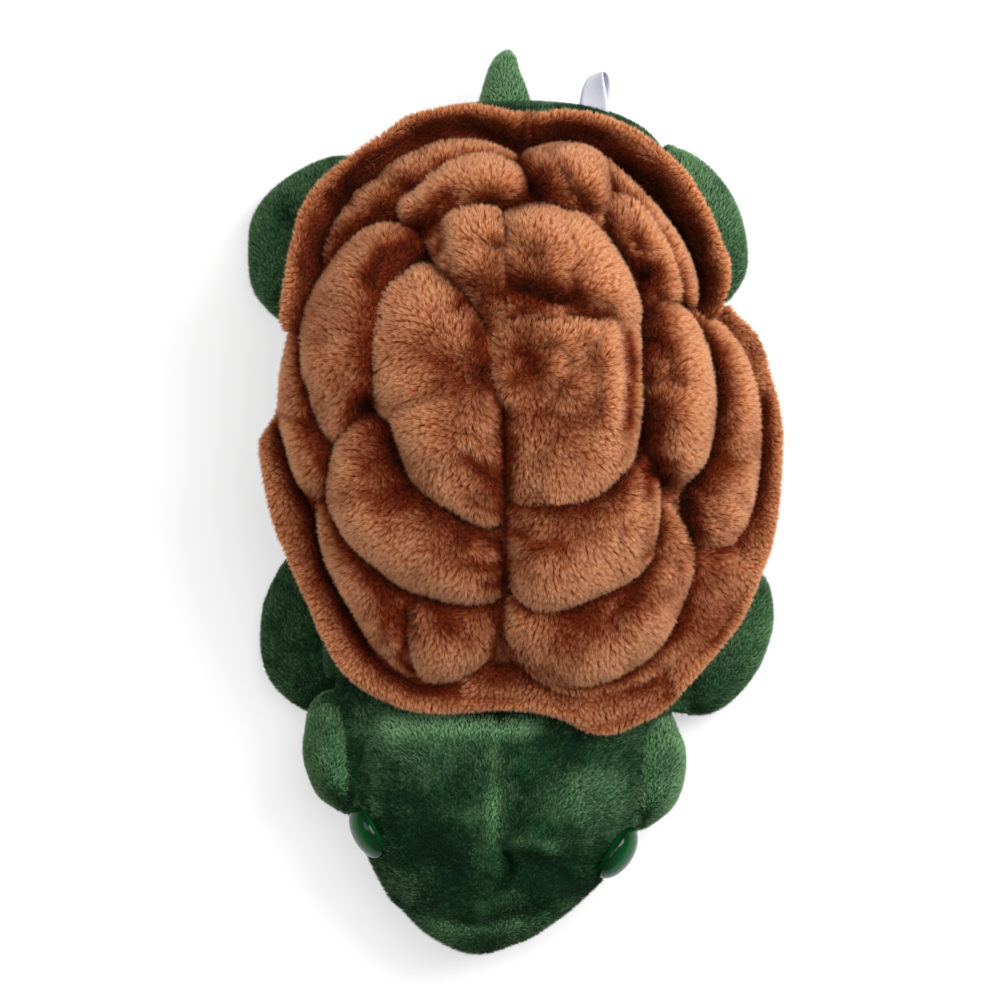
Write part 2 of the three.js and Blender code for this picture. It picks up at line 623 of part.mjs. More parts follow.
const flipperPlaces = [
  { name: 'front_left_flipper', alongShare: 0.08, sign: -1, sweep: -1 },
  { name: 'front_right_flipper', alongShare: 0.08, sign: 1, sweep: -1 },
  { name: 'hind_left_flipper', alongShare: 0.74, sign: -1, sweep: 1 },
  { name: 'hind_right_flipper', alongShare: 0.74, sign: 1, sweep: 1 },
];
const flipperRoots = [];
for (const { name, alongShare, sign, sweep } of flipperPlaces) {
  const middleY = bodyFront + alongShare * bodyLength;
  const rootX = sign * bodyReachAt(middleY);
  const shape = { rootX, middleY, sign, sweep, reach: flipperReach };
  const cover = leaf(shape, 0).intersect(above(0)).subtract(leaf(shape, flipperCloth));
  addPiece(`${name}_top`, largest(cover.intersect(above(flipperMiddle + seam))), colours.green);
  addPiece(`${name}_bottom`, largest(cover.intersect(below(flipperMiddle - seam))), colours.green);
  addPiece(`${name}_filling`, leaf(shape, flipperCloth + clearance), colours.filling);
  flipperRoots.push({ name, root: corner(rootX, middleY, flipperMiddle) });
}

// How far the body reaches sideways, over the stretch that a flipper is sewn to
function bodyReachAt(middleY) {
  const long = (leafShares[0][1] * flipperLength) / 2;
  const thick = (leafShares[0][2] * flipperThickness) / 2;
  const stretch = block(corner(-far, middleY - long, flipperMiddle - thick),
    corner(far, middleY + long, flipperMiddle + thick));
  return bodyTube.intersect(stretch).boundingBox().max[0];
}

// Tail: a stuffed cone on the rump, with its tip bent a little to the right
const tailShares = [[0, 0.08], [0.07, 0.55], [0.17, 0.9], [0.34, 1], [0.6, 0.74], [0.85, 0.42], [0.96, 0.26],
  [1, 0.1]];
const tailLevel = bodyHeight * (bodyShares.at(-1)[2] + bodyShares.at(-1)[3]) / 2;
function tail(inset) {
  return loft(tailShares.map(([along, wide]) => {
    const y = rumpEnd + seamGap + inset * (1 - 2 * along) + along * tailLength;
    const radius = Math.max((wide * tailDiameter) / 2 - inset, clearance / 2);
    const points = [];
    for (let i = 0; i < leafPoints; i += 1) {
      const angle = (i * 2 * Math.PI) / leafPoints;
      points.push(corner(tailAside + tailBend * along ** 2 + radius * Math.cos(angle), y,
        tailLevel + radius * Math.sin(angle)));
    }
    return points;
  }));
}
const stuffingHole = new THREE.CylinderGeometry(tailDiameter / 4, tailDiameter / 4, 2 * tailLength, leafPoints);
stuffingHole.translate(tailAside, rumpEnd + 2 * (seamGap + flipperCloth) - tailLength, tailLevel);
const tailHollow = tail(flipperCloth).add(solid(stuffingHole).intersect(tail(0)));
addPiece('tail_cover', largest(tail(0).subtract(tailHollow)), colours.green);
addPiece('tail_filling', tail(flipperCloth + clearance), colours.filling);

// Label: a folded loop of tape sewn to the rump, bare
const labelPlaceShare = 0.44;
const labelLoop = new THREE.Shape();
const labelHalf = 1.5 * labelThickness;
const labelRoot = rumpEnd + clearance;
const labelBend = labelRoot + labelLength - labelHalf;
labelLoop.moveTo(labelHalf, labelRoot);
labelLoop.lineTo(labelHalf, labelBend);
labelLoop.absarc(0, labelBend, labelHalf, 0, Math.PI);
labelLoop.lineTo(-labelHalf, labelRoot);
labelLoop.lineTo(labelThickness - labelHalf, labelRoot);
labelLoop.lineTo(labelThickness - labelHalf, labelBend);
labelLoop.absarc(0, labelBend, labelHalf - labelThickness, Math.PI, 0, true);
labelLoop.lineTo(labelHalf - labelThickness, labelRoot);
labelLoop.closePath();
const tape = new THREE.ExtrudeGeometry(labelLoop, { depth: labelWidth, bevelEnabled: false, curveSegments: 3 });
tape.translate(0, 0, -labelWidth / 2).rotateY(Math.PI / 2);
tape.translate(labelPlaceShare * bodyWidth / 2, 0, tailLevel + labelWidth / 2);
addPiece('care_label', solid(tape), colours.label);

// The origin is the middle of the foot of the whole toy
turtle.updateMatrixWorld(true);
const span = new THREE.Box3().setFromObject(turtle, true);
const footing = span.getCenter(corner(0, 0, 0)).setZ(span.min.z).negate();
turtle.position.copy(footing);
const millimetres = (point) => point.toArray().map((value) => value.toFixed(2)).join(' ');
console.log('size', millimetres(span.getSize(corner(0, 0, 0))));
const neckPivot = corner(0, neckPlace, neckLevel).add(footing);
const mouthPivot = corner(0, -mouthCorner, mouthLevel).applyEuler(head.rotation).add(neckPivot);
console.log('neck', millimetres(neckPivot), 'mouth', millimetres(mouthPivot));
console.log('tail', millimetres(corner(tailAside, rumpEnd, tailLevel).add(footing)));
flipperRoots.forEach(({ name, root }) => console.log(name, millimetres(root.add(footing))));

export default turtle;
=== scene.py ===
"""A plush turtle hand puppet: quilted brown shell, green glove body, stuffed flippers, and a head with a mouth.

Every length is in millimetres until a mesh is made, and the frame is the CAD's own: +Z up, +Y to the tail.
"""

import json
import logging
import math
from collections.abc import Callable, Sequence
from dataclasses import dataclass, field, replace
from enum import Enum
from functools import partial
from typing import ClassVar

import bmesh
import bpy
import numpy as np
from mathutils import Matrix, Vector, noise
from mathutils.bvhtree import BVHTree
from mathutils.geometry import delaunay_2d_cdt

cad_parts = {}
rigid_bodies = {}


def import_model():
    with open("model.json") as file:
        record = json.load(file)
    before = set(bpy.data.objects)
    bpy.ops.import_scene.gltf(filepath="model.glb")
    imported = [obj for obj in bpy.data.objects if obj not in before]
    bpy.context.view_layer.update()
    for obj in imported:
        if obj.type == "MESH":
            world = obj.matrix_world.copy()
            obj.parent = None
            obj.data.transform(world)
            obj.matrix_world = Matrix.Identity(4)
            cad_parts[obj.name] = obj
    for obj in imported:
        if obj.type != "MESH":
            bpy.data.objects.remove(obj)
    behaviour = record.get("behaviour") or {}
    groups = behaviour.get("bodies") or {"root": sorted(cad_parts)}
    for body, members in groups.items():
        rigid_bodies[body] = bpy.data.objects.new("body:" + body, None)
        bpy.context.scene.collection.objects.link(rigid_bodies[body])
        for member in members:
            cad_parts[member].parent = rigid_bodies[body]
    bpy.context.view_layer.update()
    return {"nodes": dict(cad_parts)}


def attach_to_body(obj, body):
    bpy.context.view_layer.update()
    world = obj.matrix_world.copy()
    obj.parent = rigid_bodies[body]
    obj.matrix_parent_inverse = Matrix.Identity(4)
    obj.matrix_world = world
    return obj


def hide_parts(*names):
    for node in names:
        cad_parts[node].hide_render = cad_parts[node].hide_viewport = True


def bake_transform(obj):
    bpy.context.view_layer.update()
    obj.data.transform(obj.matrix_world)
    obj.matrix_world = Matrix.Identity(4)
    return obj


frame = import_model()

LOG = logging.getLogger("turtle_puppet")
METRE = 0.001
FULL_TURN = 2 * math.pi
Array = np.ndarray
Pixel = tuple[float, float]


# ---- Places ----


@dataclass(frozen=True)
class PhotoView:
    """The camera straight above the toy, which turns a place in the photograph into one on the toy.

    Attributes:
        x, y: Where the camera hangs, in mm.
        height: How high it hangs, in mm.
        level: The height at which a pixel has its named size, in mm.
        pixel: The size of a pixel at that level, in mm.
    """

    x: float = -4.68
    y: float = 1.34
    height: float = 2500.0
    level: float = 25.0
    pixel: float = 0.334

    def plan(self, places: Sequence[Pixel], z: float) -> Array:
        """Turns places in the photograph into plan points at one height.

        Args:
            places: Pixel columns and rows.
            z: The height of all of them, in mm.

        Returns:
            An array of x and y, in mm.
        """
        size = self.pixel * (self.height - z) / (self.height - self.level)
        uv = np.array(places, float)
        return np.stack([self.x + (uv[:, 0] - 500) * size, self.y + (500 - uv[:, 1]) * size], 1)


VIEW = PhotoView()


def smooth_path(points: Array, step: float, closed: bool) -> Array:
    """Runs a smooth curve through points and marks it off at even steps.

    Args:
        points: The points that it passes, as rows of any length.
        step: The distance between the marks.
        closed: Whether it comes back to its start.

    Returns:
        The marks, one row each; a closed path doesn't repeat its first.
    """
    p = np.asarray(points, float)
    n = len(p)
    pieces = n if closed else n - 1
    fine = []
    for i in range(pieces):
        if closed:
            a, b, c, d = (p[(i + k) % n] for k in (-1, 0, 1, 2))
        else:
            a, b, c, d = (p[min(max(i + k, 0), n - 1)] for k in (-1, 0, 1, 2))
        t = np.linspace(0, 1, 24, endpoint=False)[:, None]
        fine.append(0.5 * (2 * b + (c - a) * t + (2 * a - 5 * b + 4 * c - d) * t**2 + (3 * b - a - 3 * c + d) * t**3))
    line = np.concatenate(fine + ([p[:1]] if closed else [p[-1:]]))
    run = np.concatenate([[0], np.cumsum(np.linalg.norm(np.diff(line, axis=0), axis=1))])
    count = max(8 if closed else 2, int(round(run[-1] / step)))
    marks = np.linspace(0, run[-1], count + 1)
    if closed:
        marks = marks[:-1]
    return np.stack([np.interp(marks, run, line[:, k]) for k in range(p.shape[1])], 1)


def inside(points: Array, loop: Array) -> Array:
    """Says which plan points lie within a closed loop.

    Args:
        points: Plan points.
        loop: The loop's corners in order.

    Returns:
        One truth value for each point.
    """
    x, y = points[:, 0], points[:, 1]
    found = np.zeros(len(points), bool)
    for (x0, y0), (x1, y1) in zip(loop, np.roll(loop, -1, 0)):
        if y0 != y1:
            found ^= ((y0 > y) != (y1 > y)) & (x < (x1 - x0) * (y - y0) / (y1 - y0) + x0)
    return found


def distance_to(points: Array, path: Array, closed: bool = False) -> Array:
    """Measures how far plan points lie from a path.

    Args:
        points: Plan points.
        path: The path's corners in order.
        closed: Whether the path comes back to its start.

    Returns:
        The distance of each point.
    """
    a = path if closed else path[:-1]
    b = np.roll(path, -1, 0) if closed else path[1:]
    best = np.full(len(points), np.inf)
    for p, q in zip(a, b):
        d = q - p
        t = np.clip(((points - p) @ d) / max(float(d @ d), 1e-9), 0, 1)
        best = np.minimum(best, np.linalg.norm(points - p - t[:, None] * d, axis=1))
    return best


def ripple(points: Array, size: float, seed: float) -> Array:
    """Gives a soft, even waviness over points, from -1 to 1.

    Args:
        points: Points in plan or in space, in mm.
        size: The width of a wave, in mm.
        seed: Which pattern it is.

    Returns:
        One value for each point.
    """
    out = np.empty(len(points))
    for i, p in enumerate(points):
        z = p[2] / size if len(p) > 2 else 0.0
        out[i] = noise.noise(Vector((p[0] / size + seed * 7.3, p[1] / size - seed * 3.1, z + seed * 1.7)))
    return out


def ease(t: Array) -> Array:
    """Goes smoothly from 0 to 1 as t does."""
    t = np.clip(t, 0, 1)
    return t * t * (3 - 2 * t)


def mesh_object(name: str, corners: Array, faces: Sequence[Sequence[int]]) -> bpy.types.Object:
    """Makes an object at the origin from corners in mm.

    Args:
        name: The piece's name.
        corners: Points in the toy's frame, in mm.
        faces: Corner numbers of each face, anticlockwise from outside.

    Returns:
        The new object, smooth shaded.
    """
    mesh = bpy.data.meshes.new(name)
    mesh.from_pydata([tuple(c) for c in np.asarray(corners, float) * METRE], [], [tuple(f) for f in faces])
    mesh.validate()
    for polygon in mesh.polygons:
        polygon.use_smooth = True
    thing = bpy.data.objects.new(name, mesh)
    bpy.context.scene.collection.objects.link(thing)
    return thing


def apply_modifiers(thing: bpy.types.Object) -> bpy.types.Object:
    """Turns an object's modifiers into plain mesh.

    Args:
        thing: The object.

    Returns:
        The same object, with no modifier left.
    """
    mesh = bpy.data.meshes.new_from_object(thing.evaluated_get(bpy.context.evaluated_depsgraph_get()))
    old = thing.data
    mesh.name = old.name
    thing.modifiers.clear()
    thing.data = mesh
    bpy.data.meshes.remove(old)
    for polygon in mesh.polygons:
        polygon.use_smooth = True
    return thing


def thicken(thing: bpy.types.Object, wall: float, offset: float = -1.0) -> bpy.types.Object:
    """Gives a sheet its wall.

    Args:
        thing: The sheet.
        wall: The wall's thickness, in mm.
        offset: -1 grows it inwards, 1 outwards.

    Returns:
        The same object.
    """
    solid = thing.modifiers.new("wall", "SOLIDIFY")
    solid.thickness = wall * METRE
    solid.offset = offset
    solid.use_even_offset = False
    return apply_modifiers(thing)


def face_outwards(thing: bpy.types.Object, merge: float = 0.0) -> None:
    """Turns a closed mesh's faces outwards.

    Args:
        thing: The closed piece.
        merge: How near points have to be to become one, in metres; 0 merges none.
    """
    bm = bmesh.new()
    bm.from_mesh(thing.data)
    if merge:
        bmesh.ops.remove_doubles(bm, verts=bm.verts, dist=merge)
    bmesh.ops.recalc_face_normals(bm, faces=bm.faces)
    bm.to_mesh(thing.data)
    bm.free()


def quads(rings: int, count: int, around: bool = True, along: bool = False) -> list[tuple[int, int, int, int]]:
    """Joins rings of points into four-sided faces.

    Args:
        rings: How many rings there are.
        count: The points on each.
        around: Whether each ring closes.
        along: Whether the last ring joins the first.

    Returns:
        The corners of each face: one on this ring, the next one, that one on the next ring, and the first there.
    """
    return [
        (i * count + j, i * count + k, ahead * count + k, ahead * count + j)
        for i in range(rings if along else rings - 1)
        for j in range(count if around else count - 1)
        for k, ahead in [((j + 1) % count, (i + 1) % rings)]
    ]


def read_values(items: bpy.types.bpy_prop_collection, key: str, width: int = 1, kind: type = np.float32) -> Array:
    """Reads one value of each item in a mesh's list.

    Args:
        items: The list, such as a mesh's vertices.
        key: The value's name.
        width: How many numbers it has.
        kind: What they are.

    Returns:
        One row for each item, or one number where it has one.
    """
    values = np.zeros(len(items) * width, kind)
    items.foreach_get(key, values)
    return values.reshape(-1, width) if width > 1 else values


def write_values(mesh: bpy.types.Mesh, name: str, values: Array, kind: str = "FLOAT") -> None:
    """Gives each point of a mesh a named value.

    Args:
        mesh: The mesh.
        name: The value's name.
        values: One number or vector for each point.
        kind: FLOAT or FLOAT_VECTOR.
    """
    key = "vector" if kind == "FLOAT_VECTOR" else "value"
    mesh.attributes.new(name, kind, "POINT").data.foreach_set(key, np.asarray(values, np.float32).ravel())


def dress(
    thing: bpy.types.Object, material: bpy.types.Material, body: str | None, slot: str, *nodes: str
) -> bpy.types.Object:
    """Gives a piece its material and its body, and hides the CAD nodes that it stands for.

    Args:
        thing: The piece.
        material: What it is made of.
        body: The body that it rides on, or None where it lies between two and rides on neither.
        slot: Not used.
        *nodes: The nodes.

    Returns:
        The same object.
    """
    thing.data.materials.append(material)
    if body is not None:
        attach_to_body(thing, body)
    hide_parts(*nodes)
    return thing


def riding(body: str) -> Callable[[bpy.types.Object], None]:
    """Gives the way that a pile piece is made to ride on one body."""

    def attach(pile: bpy.types.Object) -> None:
        """Makes the pile ride."""
        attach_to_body(pile, body)

    return attach


def bending() -> Callable[[bpy.types.Object], None]:
    """Gives the way that a pile piece between two bodies is left: on no body, with its place baked into its mesh."""

    def attach(pile: bpy.types.Object) -> None:
        """Bakes the pile's place into its mesh."""
        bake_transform(pile)

    return attach


# ---- Stuffed forms ----


class Side(Enum):
    """Which side of a seam line a stuffed form has."""

    BOTH = "both"
    UPPER = "upper"
    LOWER = "lower"


@dataclass(frozen=True)
class Fold:
    """A sewn tuck, crease or ridge drawn on a stuffed form, or a line of painted shade or painted light on its pile.

    Attributes:
        path: Its line in the photograph.
        width: Half its width, in mm.
        depth: How deep it is, in mm; a ridge is less than 0.
    """

    path: tuple[Pixel, ...]
    width: float = 4.0
    depth: float = 4.0

    SHADE_SHARE: ClassVar[float] = 0.15

    def shade(self) -> "Fold":
        """Gives the line of painted shade that darkens the pile along the fold."""
        return Fold(self.path, self.width, self.depth * self.SHADE_SHARE)

    def drop(self, plan: Array, z: float) -> Array:
        """Gives how far the fold lowers each point.

        Args:
            plan: Plan points, in mm.
            z: The height at which its line is placed.

        Returns:
            A depth for each point, in mm.
        """
        line = VIEW.plan(self.path, z)
        if len(line) > 1:
            line = smooth_path(line, 2.0, False)
            d = distance_to(plan, line)
        else:
            d = np.linalg.norm(plan - line[0], axis=1)
        return self.depth * np.exp(-((d / self.width) ** 2))


@dataclass
class StuffedForm:
    """A cloth form filled from its seam line outwards, as a pillow is.

    Attributes:
        name: The piece's name.
        outline: Its seam line in plan, in mm.
        level: Gives the seam line's height over plan points, in mm.
        rise: How far it stands above its seam line, in mm.
        sink: How far it hangs below it, in mm.
        fullness: 1 is round across, more is flatter with fuller edges.
        folds: Tucks and ridges on its upper side.
        fold_height: The height at which the folds' lines are placed, in mm.
        side: Which side is made.
        free: Says where the edge isn't held to the seam line.
        shape: Changes the filled depth over plan points, 1 leaves it.
        spacing: The distance between mesh points, in mm.
        seed: Which pattern of small bulges it has.
        bumps: How far the small bulges stand out, in mm.
        gather: How deep the small puckers along the seam are, in mm.
        crumple: How deep the soft creases across it are, in mm.
    """

    name: str
    outline: Array
    level: Callable[[Array], Array]
    rise: float
    sink: float
    fullness: float = 1.3
    folds: Sequence[Fold] = ()
    fold_height: float = 90.0
    side: Side = Side.BOTH
    free: Callable[[Array], Array] | None = None
    shape: Callable[[Array], Array] | None = None
    spacing: float = 2.2
    seed: float = 1.0
    bumps: float = 1.2
    gather: float = 0.0
    crumple: float = 0.0

    LOOP_SHARE: ClassVar[float] = 0.85
    EDGE_ROWS: ClassVar[tuple[float, ...]] = (0.3, 1.0, 2.2, 3.9)

    plan: Array = field(init=False, repr=False)
    triangles: Array = field(init=False, repr=False)
    loop: Array = field(init=False, repr=False)
    on_edge: Array = field(init=False, repr=False)

    def cut(self) -> None:
        """Fills the outline with well-spaced points and joins them into triangles."""
        loop = smooth_path(self.outline, self.spacing * self.LOOP_SHARE, True)
        area = 0.5 * np.sum(loop[:, 0] * np.roll(loop[:, 1], -1) - loop[:, 1] * np.roll(loop[:, 0], -1))
        if area < 0:
            loop = loop[::-1]
        along = np.roll(loop, -1, 0) - np.roll(loop, 1, 0)
        along /= np.maximum(np.linalg.norm(along, axis=1), 1e-9)[:, None]
        inward = np.stack([-along[:, 1], along[:, 0]], 1)
        kept = [loop]
        for offset in self.EDGE_ROWS:
            ring = loop + inward * offset
            good = inside(ring, loop) & (distance_to(ring, loop, True) > offset * 0.93)
            kept.append(ring[good])
        low, high = loop.min(0), loop.max(0)
        row = self.spacing * math.sqrt(3) / 2
        grid = []
        for j, y in enumerate(np.arange(low[1], high[1], row)):
            for x in np.arange(low[0] + (j % 2) * self.spacing / 2, high[0], self.spacing):
                grid.append((x, y))
        grid = np.array(grid)
        grid = grid[inside(grid, loop)]
        kept.append(grid[distance_to(grid, loop, True) > self.EDGE_ROWS[-1] + 0.6 * self.spacing])
        points = np.concatenate(kept)
        found = delaunay_2d_cdt([Vector(p) for p in points], [], [list(range(len(loop)))], 1, 1e-5)
        self.plan = np.array([tuple(v) for v in found[0]])
        self.triangles = np.array([f for f in found[2] if len(f) == 3])
        self.on_edge = distance_to(self.plan, loop, True) < 1e-3
        self.loop = loop

    def fill(self) -> Array:
        """Finds how far filling pushes the cloth out, from 0 at the seam to 1 at its fullest.

        Returns:
            One share for each plan point.
        """
        p, tri = self.plan, self.triangles
        n = len(p)
        stiff = np.zeros((n, n))
        weight = np.zeros(n)
        for a, b, c in ((0, 1, 2), (1, 2, 0), (2, 0, 1)):
            i, j, k = tri[:, a], tri[:, b], tri[:, c]
            u, v = p[j] - p[i], p[k] - p[i]
            cross = np.abs(u[:, 0] * v[:, 1] - u[:, 1] * v[:, 0])
            w = 0.5 * np.sum(u * v, 1) / np.maximum(cross, 1e-6)
            np.add.at(stiff, (j, k), -w)
            np.add.at(stiff, (k, j), -w)
            np.add.at(stiff, (j, j), w)
            np.add.at(stiff, (k, k), w)
            np.add.at(weight, i, cross / 6)
        held = self.on_edge.copy()
        if self.free is not None:
            held &= ~self.free(p)
        loose = ~held
        share = np.zeros(n)
        share[loose] = np.linalg.solve(stiff[np.ix_(loose, loose)], weight[loose])
        share = np.clip(share / share.max(), 0, 1)
        return np.sqrt(1 - (1 - share) ** self.fullness)

    def puckers(self) -> Array:
        """Makes the small puckers that run in from a gathered seam and fade.

        Returns:
            A height for each plan point, in mm.
        """
        nearest = np.empty(len(self.plan), int)
        away = np.empty(len(self.plan))
        for i, spot in enumerate(self.plan):
            d = np.linalg.norm(self.loop - spot, axis=1)
            nearest[i] = int(np.argmin(d))
            away[i] = d[nearest[i]]
        run = nearest * self.spacing * self.LOOP_SHARE
        where = np.column_stack([run, np.full(len(run), 40.0)])
        wave = ripple(where, 5.5, self.seed + 11) + 0.5 * ripple(where, 3.4, self.seed + 13)
        return self.gather * wave * np.exp(-((away / 9.0) ** 2))

    def build(self) -> bpy.types.Object:
        """Makes the form's mesh.

        Returns:
            The new object.
        """
        self.cut()
        share = self.fill()
        depth = share if self.shape is None else share * self.shape(self.plan)
        seam = self.level(self.plan)
        top = seam + self.rise * depth
        bulge = self.bumps * ripple(self.plan, 21, self.seed) + 0.45 * self.bumps * ripple(self.plan, 8, self.seed + 5)
        top = top + bulge * np.minimum(share * 1.6, 1)
        if self.crumple:
            line = ripple(self.plan, 19, self.seed + 21) + 0.35 * ripple(self.plan, 8, self.seed + 22)
            strength = np.clip(0.5 + 1.6 * ripple(self.plan, 26, self.seed + 23), 0, 1)
            top = top - self.crumple * strength * np.exp(-((line / 0.1) ** 2)) * np.minimum(share * 2.0, 1)
        if self.gather:
            top = top + self.puckers() * np.minimum(share * 1.8, 1)
        for fold in self.folds:
            top = top - fold.drop(self.plan, self.fold_height) * np.minimum(share * 2.2, 1)
        below = seam - self.sink * depth
        if self.side is not Side.LOWER:
            top = np.maximum(top, below + 0.4 * (share > 0))
        upper = np.column_stack([self.plan, top])
        lower = np.column_stack([self.plan, below])
        tri = self.triangles
        a, b, c = (self.plan[tri[:, k]] for k in range(3))
        turn = (b - a)[:, 0] * (c - a)[:, 1] - (b - a)[:, 1] * (c - a)[:, 0]
        up = np.where((turn > 0)[:, None], tri, tri[:, ::-1])
        if self.side is Side.UPPER:
            return mesh_object(self.name, upper, up)
        if self.side is Side.LOWER:
            return mesh_object(self.name, lower, up[:, ::-1])
        number = np.arange(len(upper))
        number[~self.on_edge] = len(upper) + np.arange(int((~self.on_edge).sum()))
        corners = np.concatenate([upper, lower[~self.on_edge]])
        return mesh_object(self.name, corners, np.concatenate([up, number[up][:, ::-1]]))


@dataclass(frozen=True)
class Section:
    """One cross-section of a sewn tube that runs along Y.

    Attributes:
        y: Where it is.
        half: Half its width.
        low, high: Its lowest and highest points.
        x: How far its middle is to the side.
        square: 2 is an ellipse, more is squarer.
    """

    y: float
    half: float
    low: float
    high: float
    x: float = 0.0
    square: float = 2.5


def tube(sections: Sequence[Section], count: int, step: float, close_end: bool = False) -> tuple[Array, list]:
    """Lofts a smooth tube through cross-sections.

    Args:
        sections: The cross-sections in order along Y.
        count: Points round it.
        step: The distance between its rings, in mm.
        close_end: Whether its last ring closes to a point.

    Returns:
        The corners, in mm, and the faces, turned outwards.
    """
    rows = np.array([[s.y, s.half, s.low, s.high, s.x, s.square] for s in sections])
    rings = smooth_path(rows, step, False)
    angle = np.linspace(0, FULL_TURN, count, endpoint=False) - math.pi / 2
    corners = []
    for y, half, low, high, x, square in rings:
        c, s = np.cos(angle), np.sin(angle)
        px = x + half * np.sign(c) * np.abs(c) ** (2 / square)
        pz = (low + high) / 2 + (high - low) / 2 * np.sign(s) * np.abs(s) ** (2 / square)
        corners.append(np.column_stack([px, np.full(count, y), pz]))
    forward = rings[-1][0] > rings[0][0]
    faces = [list(quad[:: -1 if forward else 1]) for quad in quads(len(rings), count)]
    if close_end:
        last = (len(rings) - 1) * count
        y, _, low, high, x, _ = rings[-1]
        corners.append(np.array([[x, y, (low + high) / 2]]))
        tip = len(rings) * count
        for j in range(count):
            k = (j + 1) % count
            faces.append([last + j, last + k, tip][:: -1 if forward else 1])
    return np.concatenate(corners), faces


# ---- Finishes ----


def linear(code: str) -> tuple[float, float, float, float]:
    """Turns an sRGB hex colour into the linear one that Blender uses.

    Args:
        code: Six hex digits.

    Returns:
        Red, green, blue and alpha.
    """
    parts = [int(code[i : i + 2], 16) / 255 for i in (0, 2, 4)]
    return (*[p / 12.92 if p <= 0.04045 else ((p + 0.055) / 1.055) ** 2.4 for p in parts], 1.0)


def add_node(tree: bpy.types.NodeTree, kind: str, settings: dict | None = None, **links: object) -> bpy.types.Node:
    """Adds a node with its settings, values and incoming links.

    Args:
        tree: The tree that it goes in.
        kind: The node's type name.
        settings: Properties of the node.
        **links: Input names, with spaces as underscores, or i0, i1 for numbers; each a value, an output socket, or a
            node whose first output in use is meant.

    Returns:
        The new node.
    """
    node = tree.nodes.new(kind)
    for key, value in (settings or {}).items():
        setattr(node, key, value)
    for key, value in links.items():
        if key[0] == "i" and key[1:].isdigit():
            socket = node.inputs[int(key[1:])]
        else:
            socket = next(s for s in node.inputs if s.enabled and s.name == key.replace("_", " "))
        if isinstance(value, bpy.types.Node):
            value = next(s for s in value.outputs if s.enabled)
        if isinstance(value, bpy.types.NodeSocket):
            tree.links.new(value, socket)
        else:
            socket.default_value = value
    return node


def empty_material(name: str) -> tuple[bpy.types.Material, Callable[..., bpy.types.Node]]:
    """Starts a material.

    Args:
        name: Its name.

    Returns:
        The material, with no node, and add_node for its tree.
    """
    made = bpy.data.materials.new(name)
    made.use_nodes = True
    made.node_tree.nodes.clear()
    return made, partial(add_node, made.node_tree)


def paint(ramp: bpy.types.ColorRamp, stops: Sequence[tuple[float, str]]) -> None:
    """Gives a colour ramp its stops, each a place and an sRGB hex colour, from low to high."""
    for i, (place, code) in enumerate(stops):
        stop = ramp.elements[i] if i < 2 else ramp.elements.new(place)
        stop.position, stop.color = place, linear(code)


@dataclass(frozen=True)
class PlushCloth:
    """Short-pile polyester plush, knitted backing with brushed fibre.

    It gives the eye a soft matt surface, lighter and darker in random brushed patches and tufts.

    Attributes:
        name: The material's name.
        deep, mid, light: sRGB colours from the pile's roots to its tips.
        patch: The width of a brushed patch, in mm.
        tuft: The width of a tuft, in mm.
    """

    name: str
    deep: str
    mid: str
    light: str
    patch: float = 16.0
    tuft: float = 1.6

    def material(self) -> bpy.types.Material:
        """Builds the cloth's material."""
        made, add = empty_material(self.name)
        place = add("ShaderNodeTexCoord").outputs["Object"]
        patches, tufts = (
            add("ShaderNodeTexNoise", Vector=place, Scale=1 / (size * METRE), Detail=detail, Roughness=rough)
            for size, detail, rough in ((self.patch, 3.0, 0.55), (self.tuft, 2.0, 0.6))
        )
        mixed = add("ShaderNodeMath", {"operation": "MULTIPLY_ADD"}, i0=tufts, i1=0.55, i2=patches)
        ramp = add("ShaderNodeValToRGB", Fac=mixed)
        paint(ramp.color_ramp, ((0.55, self.deep), (0.78, self.mid), (1.0, self.light)))
        shader = add(
            "ShaderNodeBsdfPrincipled",
            Base_Color=ramp,
            Roughness=0.95,
            Specular_IOR_Level=0.1,
            Sheen_Weight=0.1,
            Sheen_Roughness=0.5,
            Sheen_Tint=linear(self.light),
            Normal=add("ShaderNodeBump", Strength=0.6, Distance=0.0009, Height=tufts),
        )
        add("ShaderNodeOutputMaterial", Surface=shader)
        return made


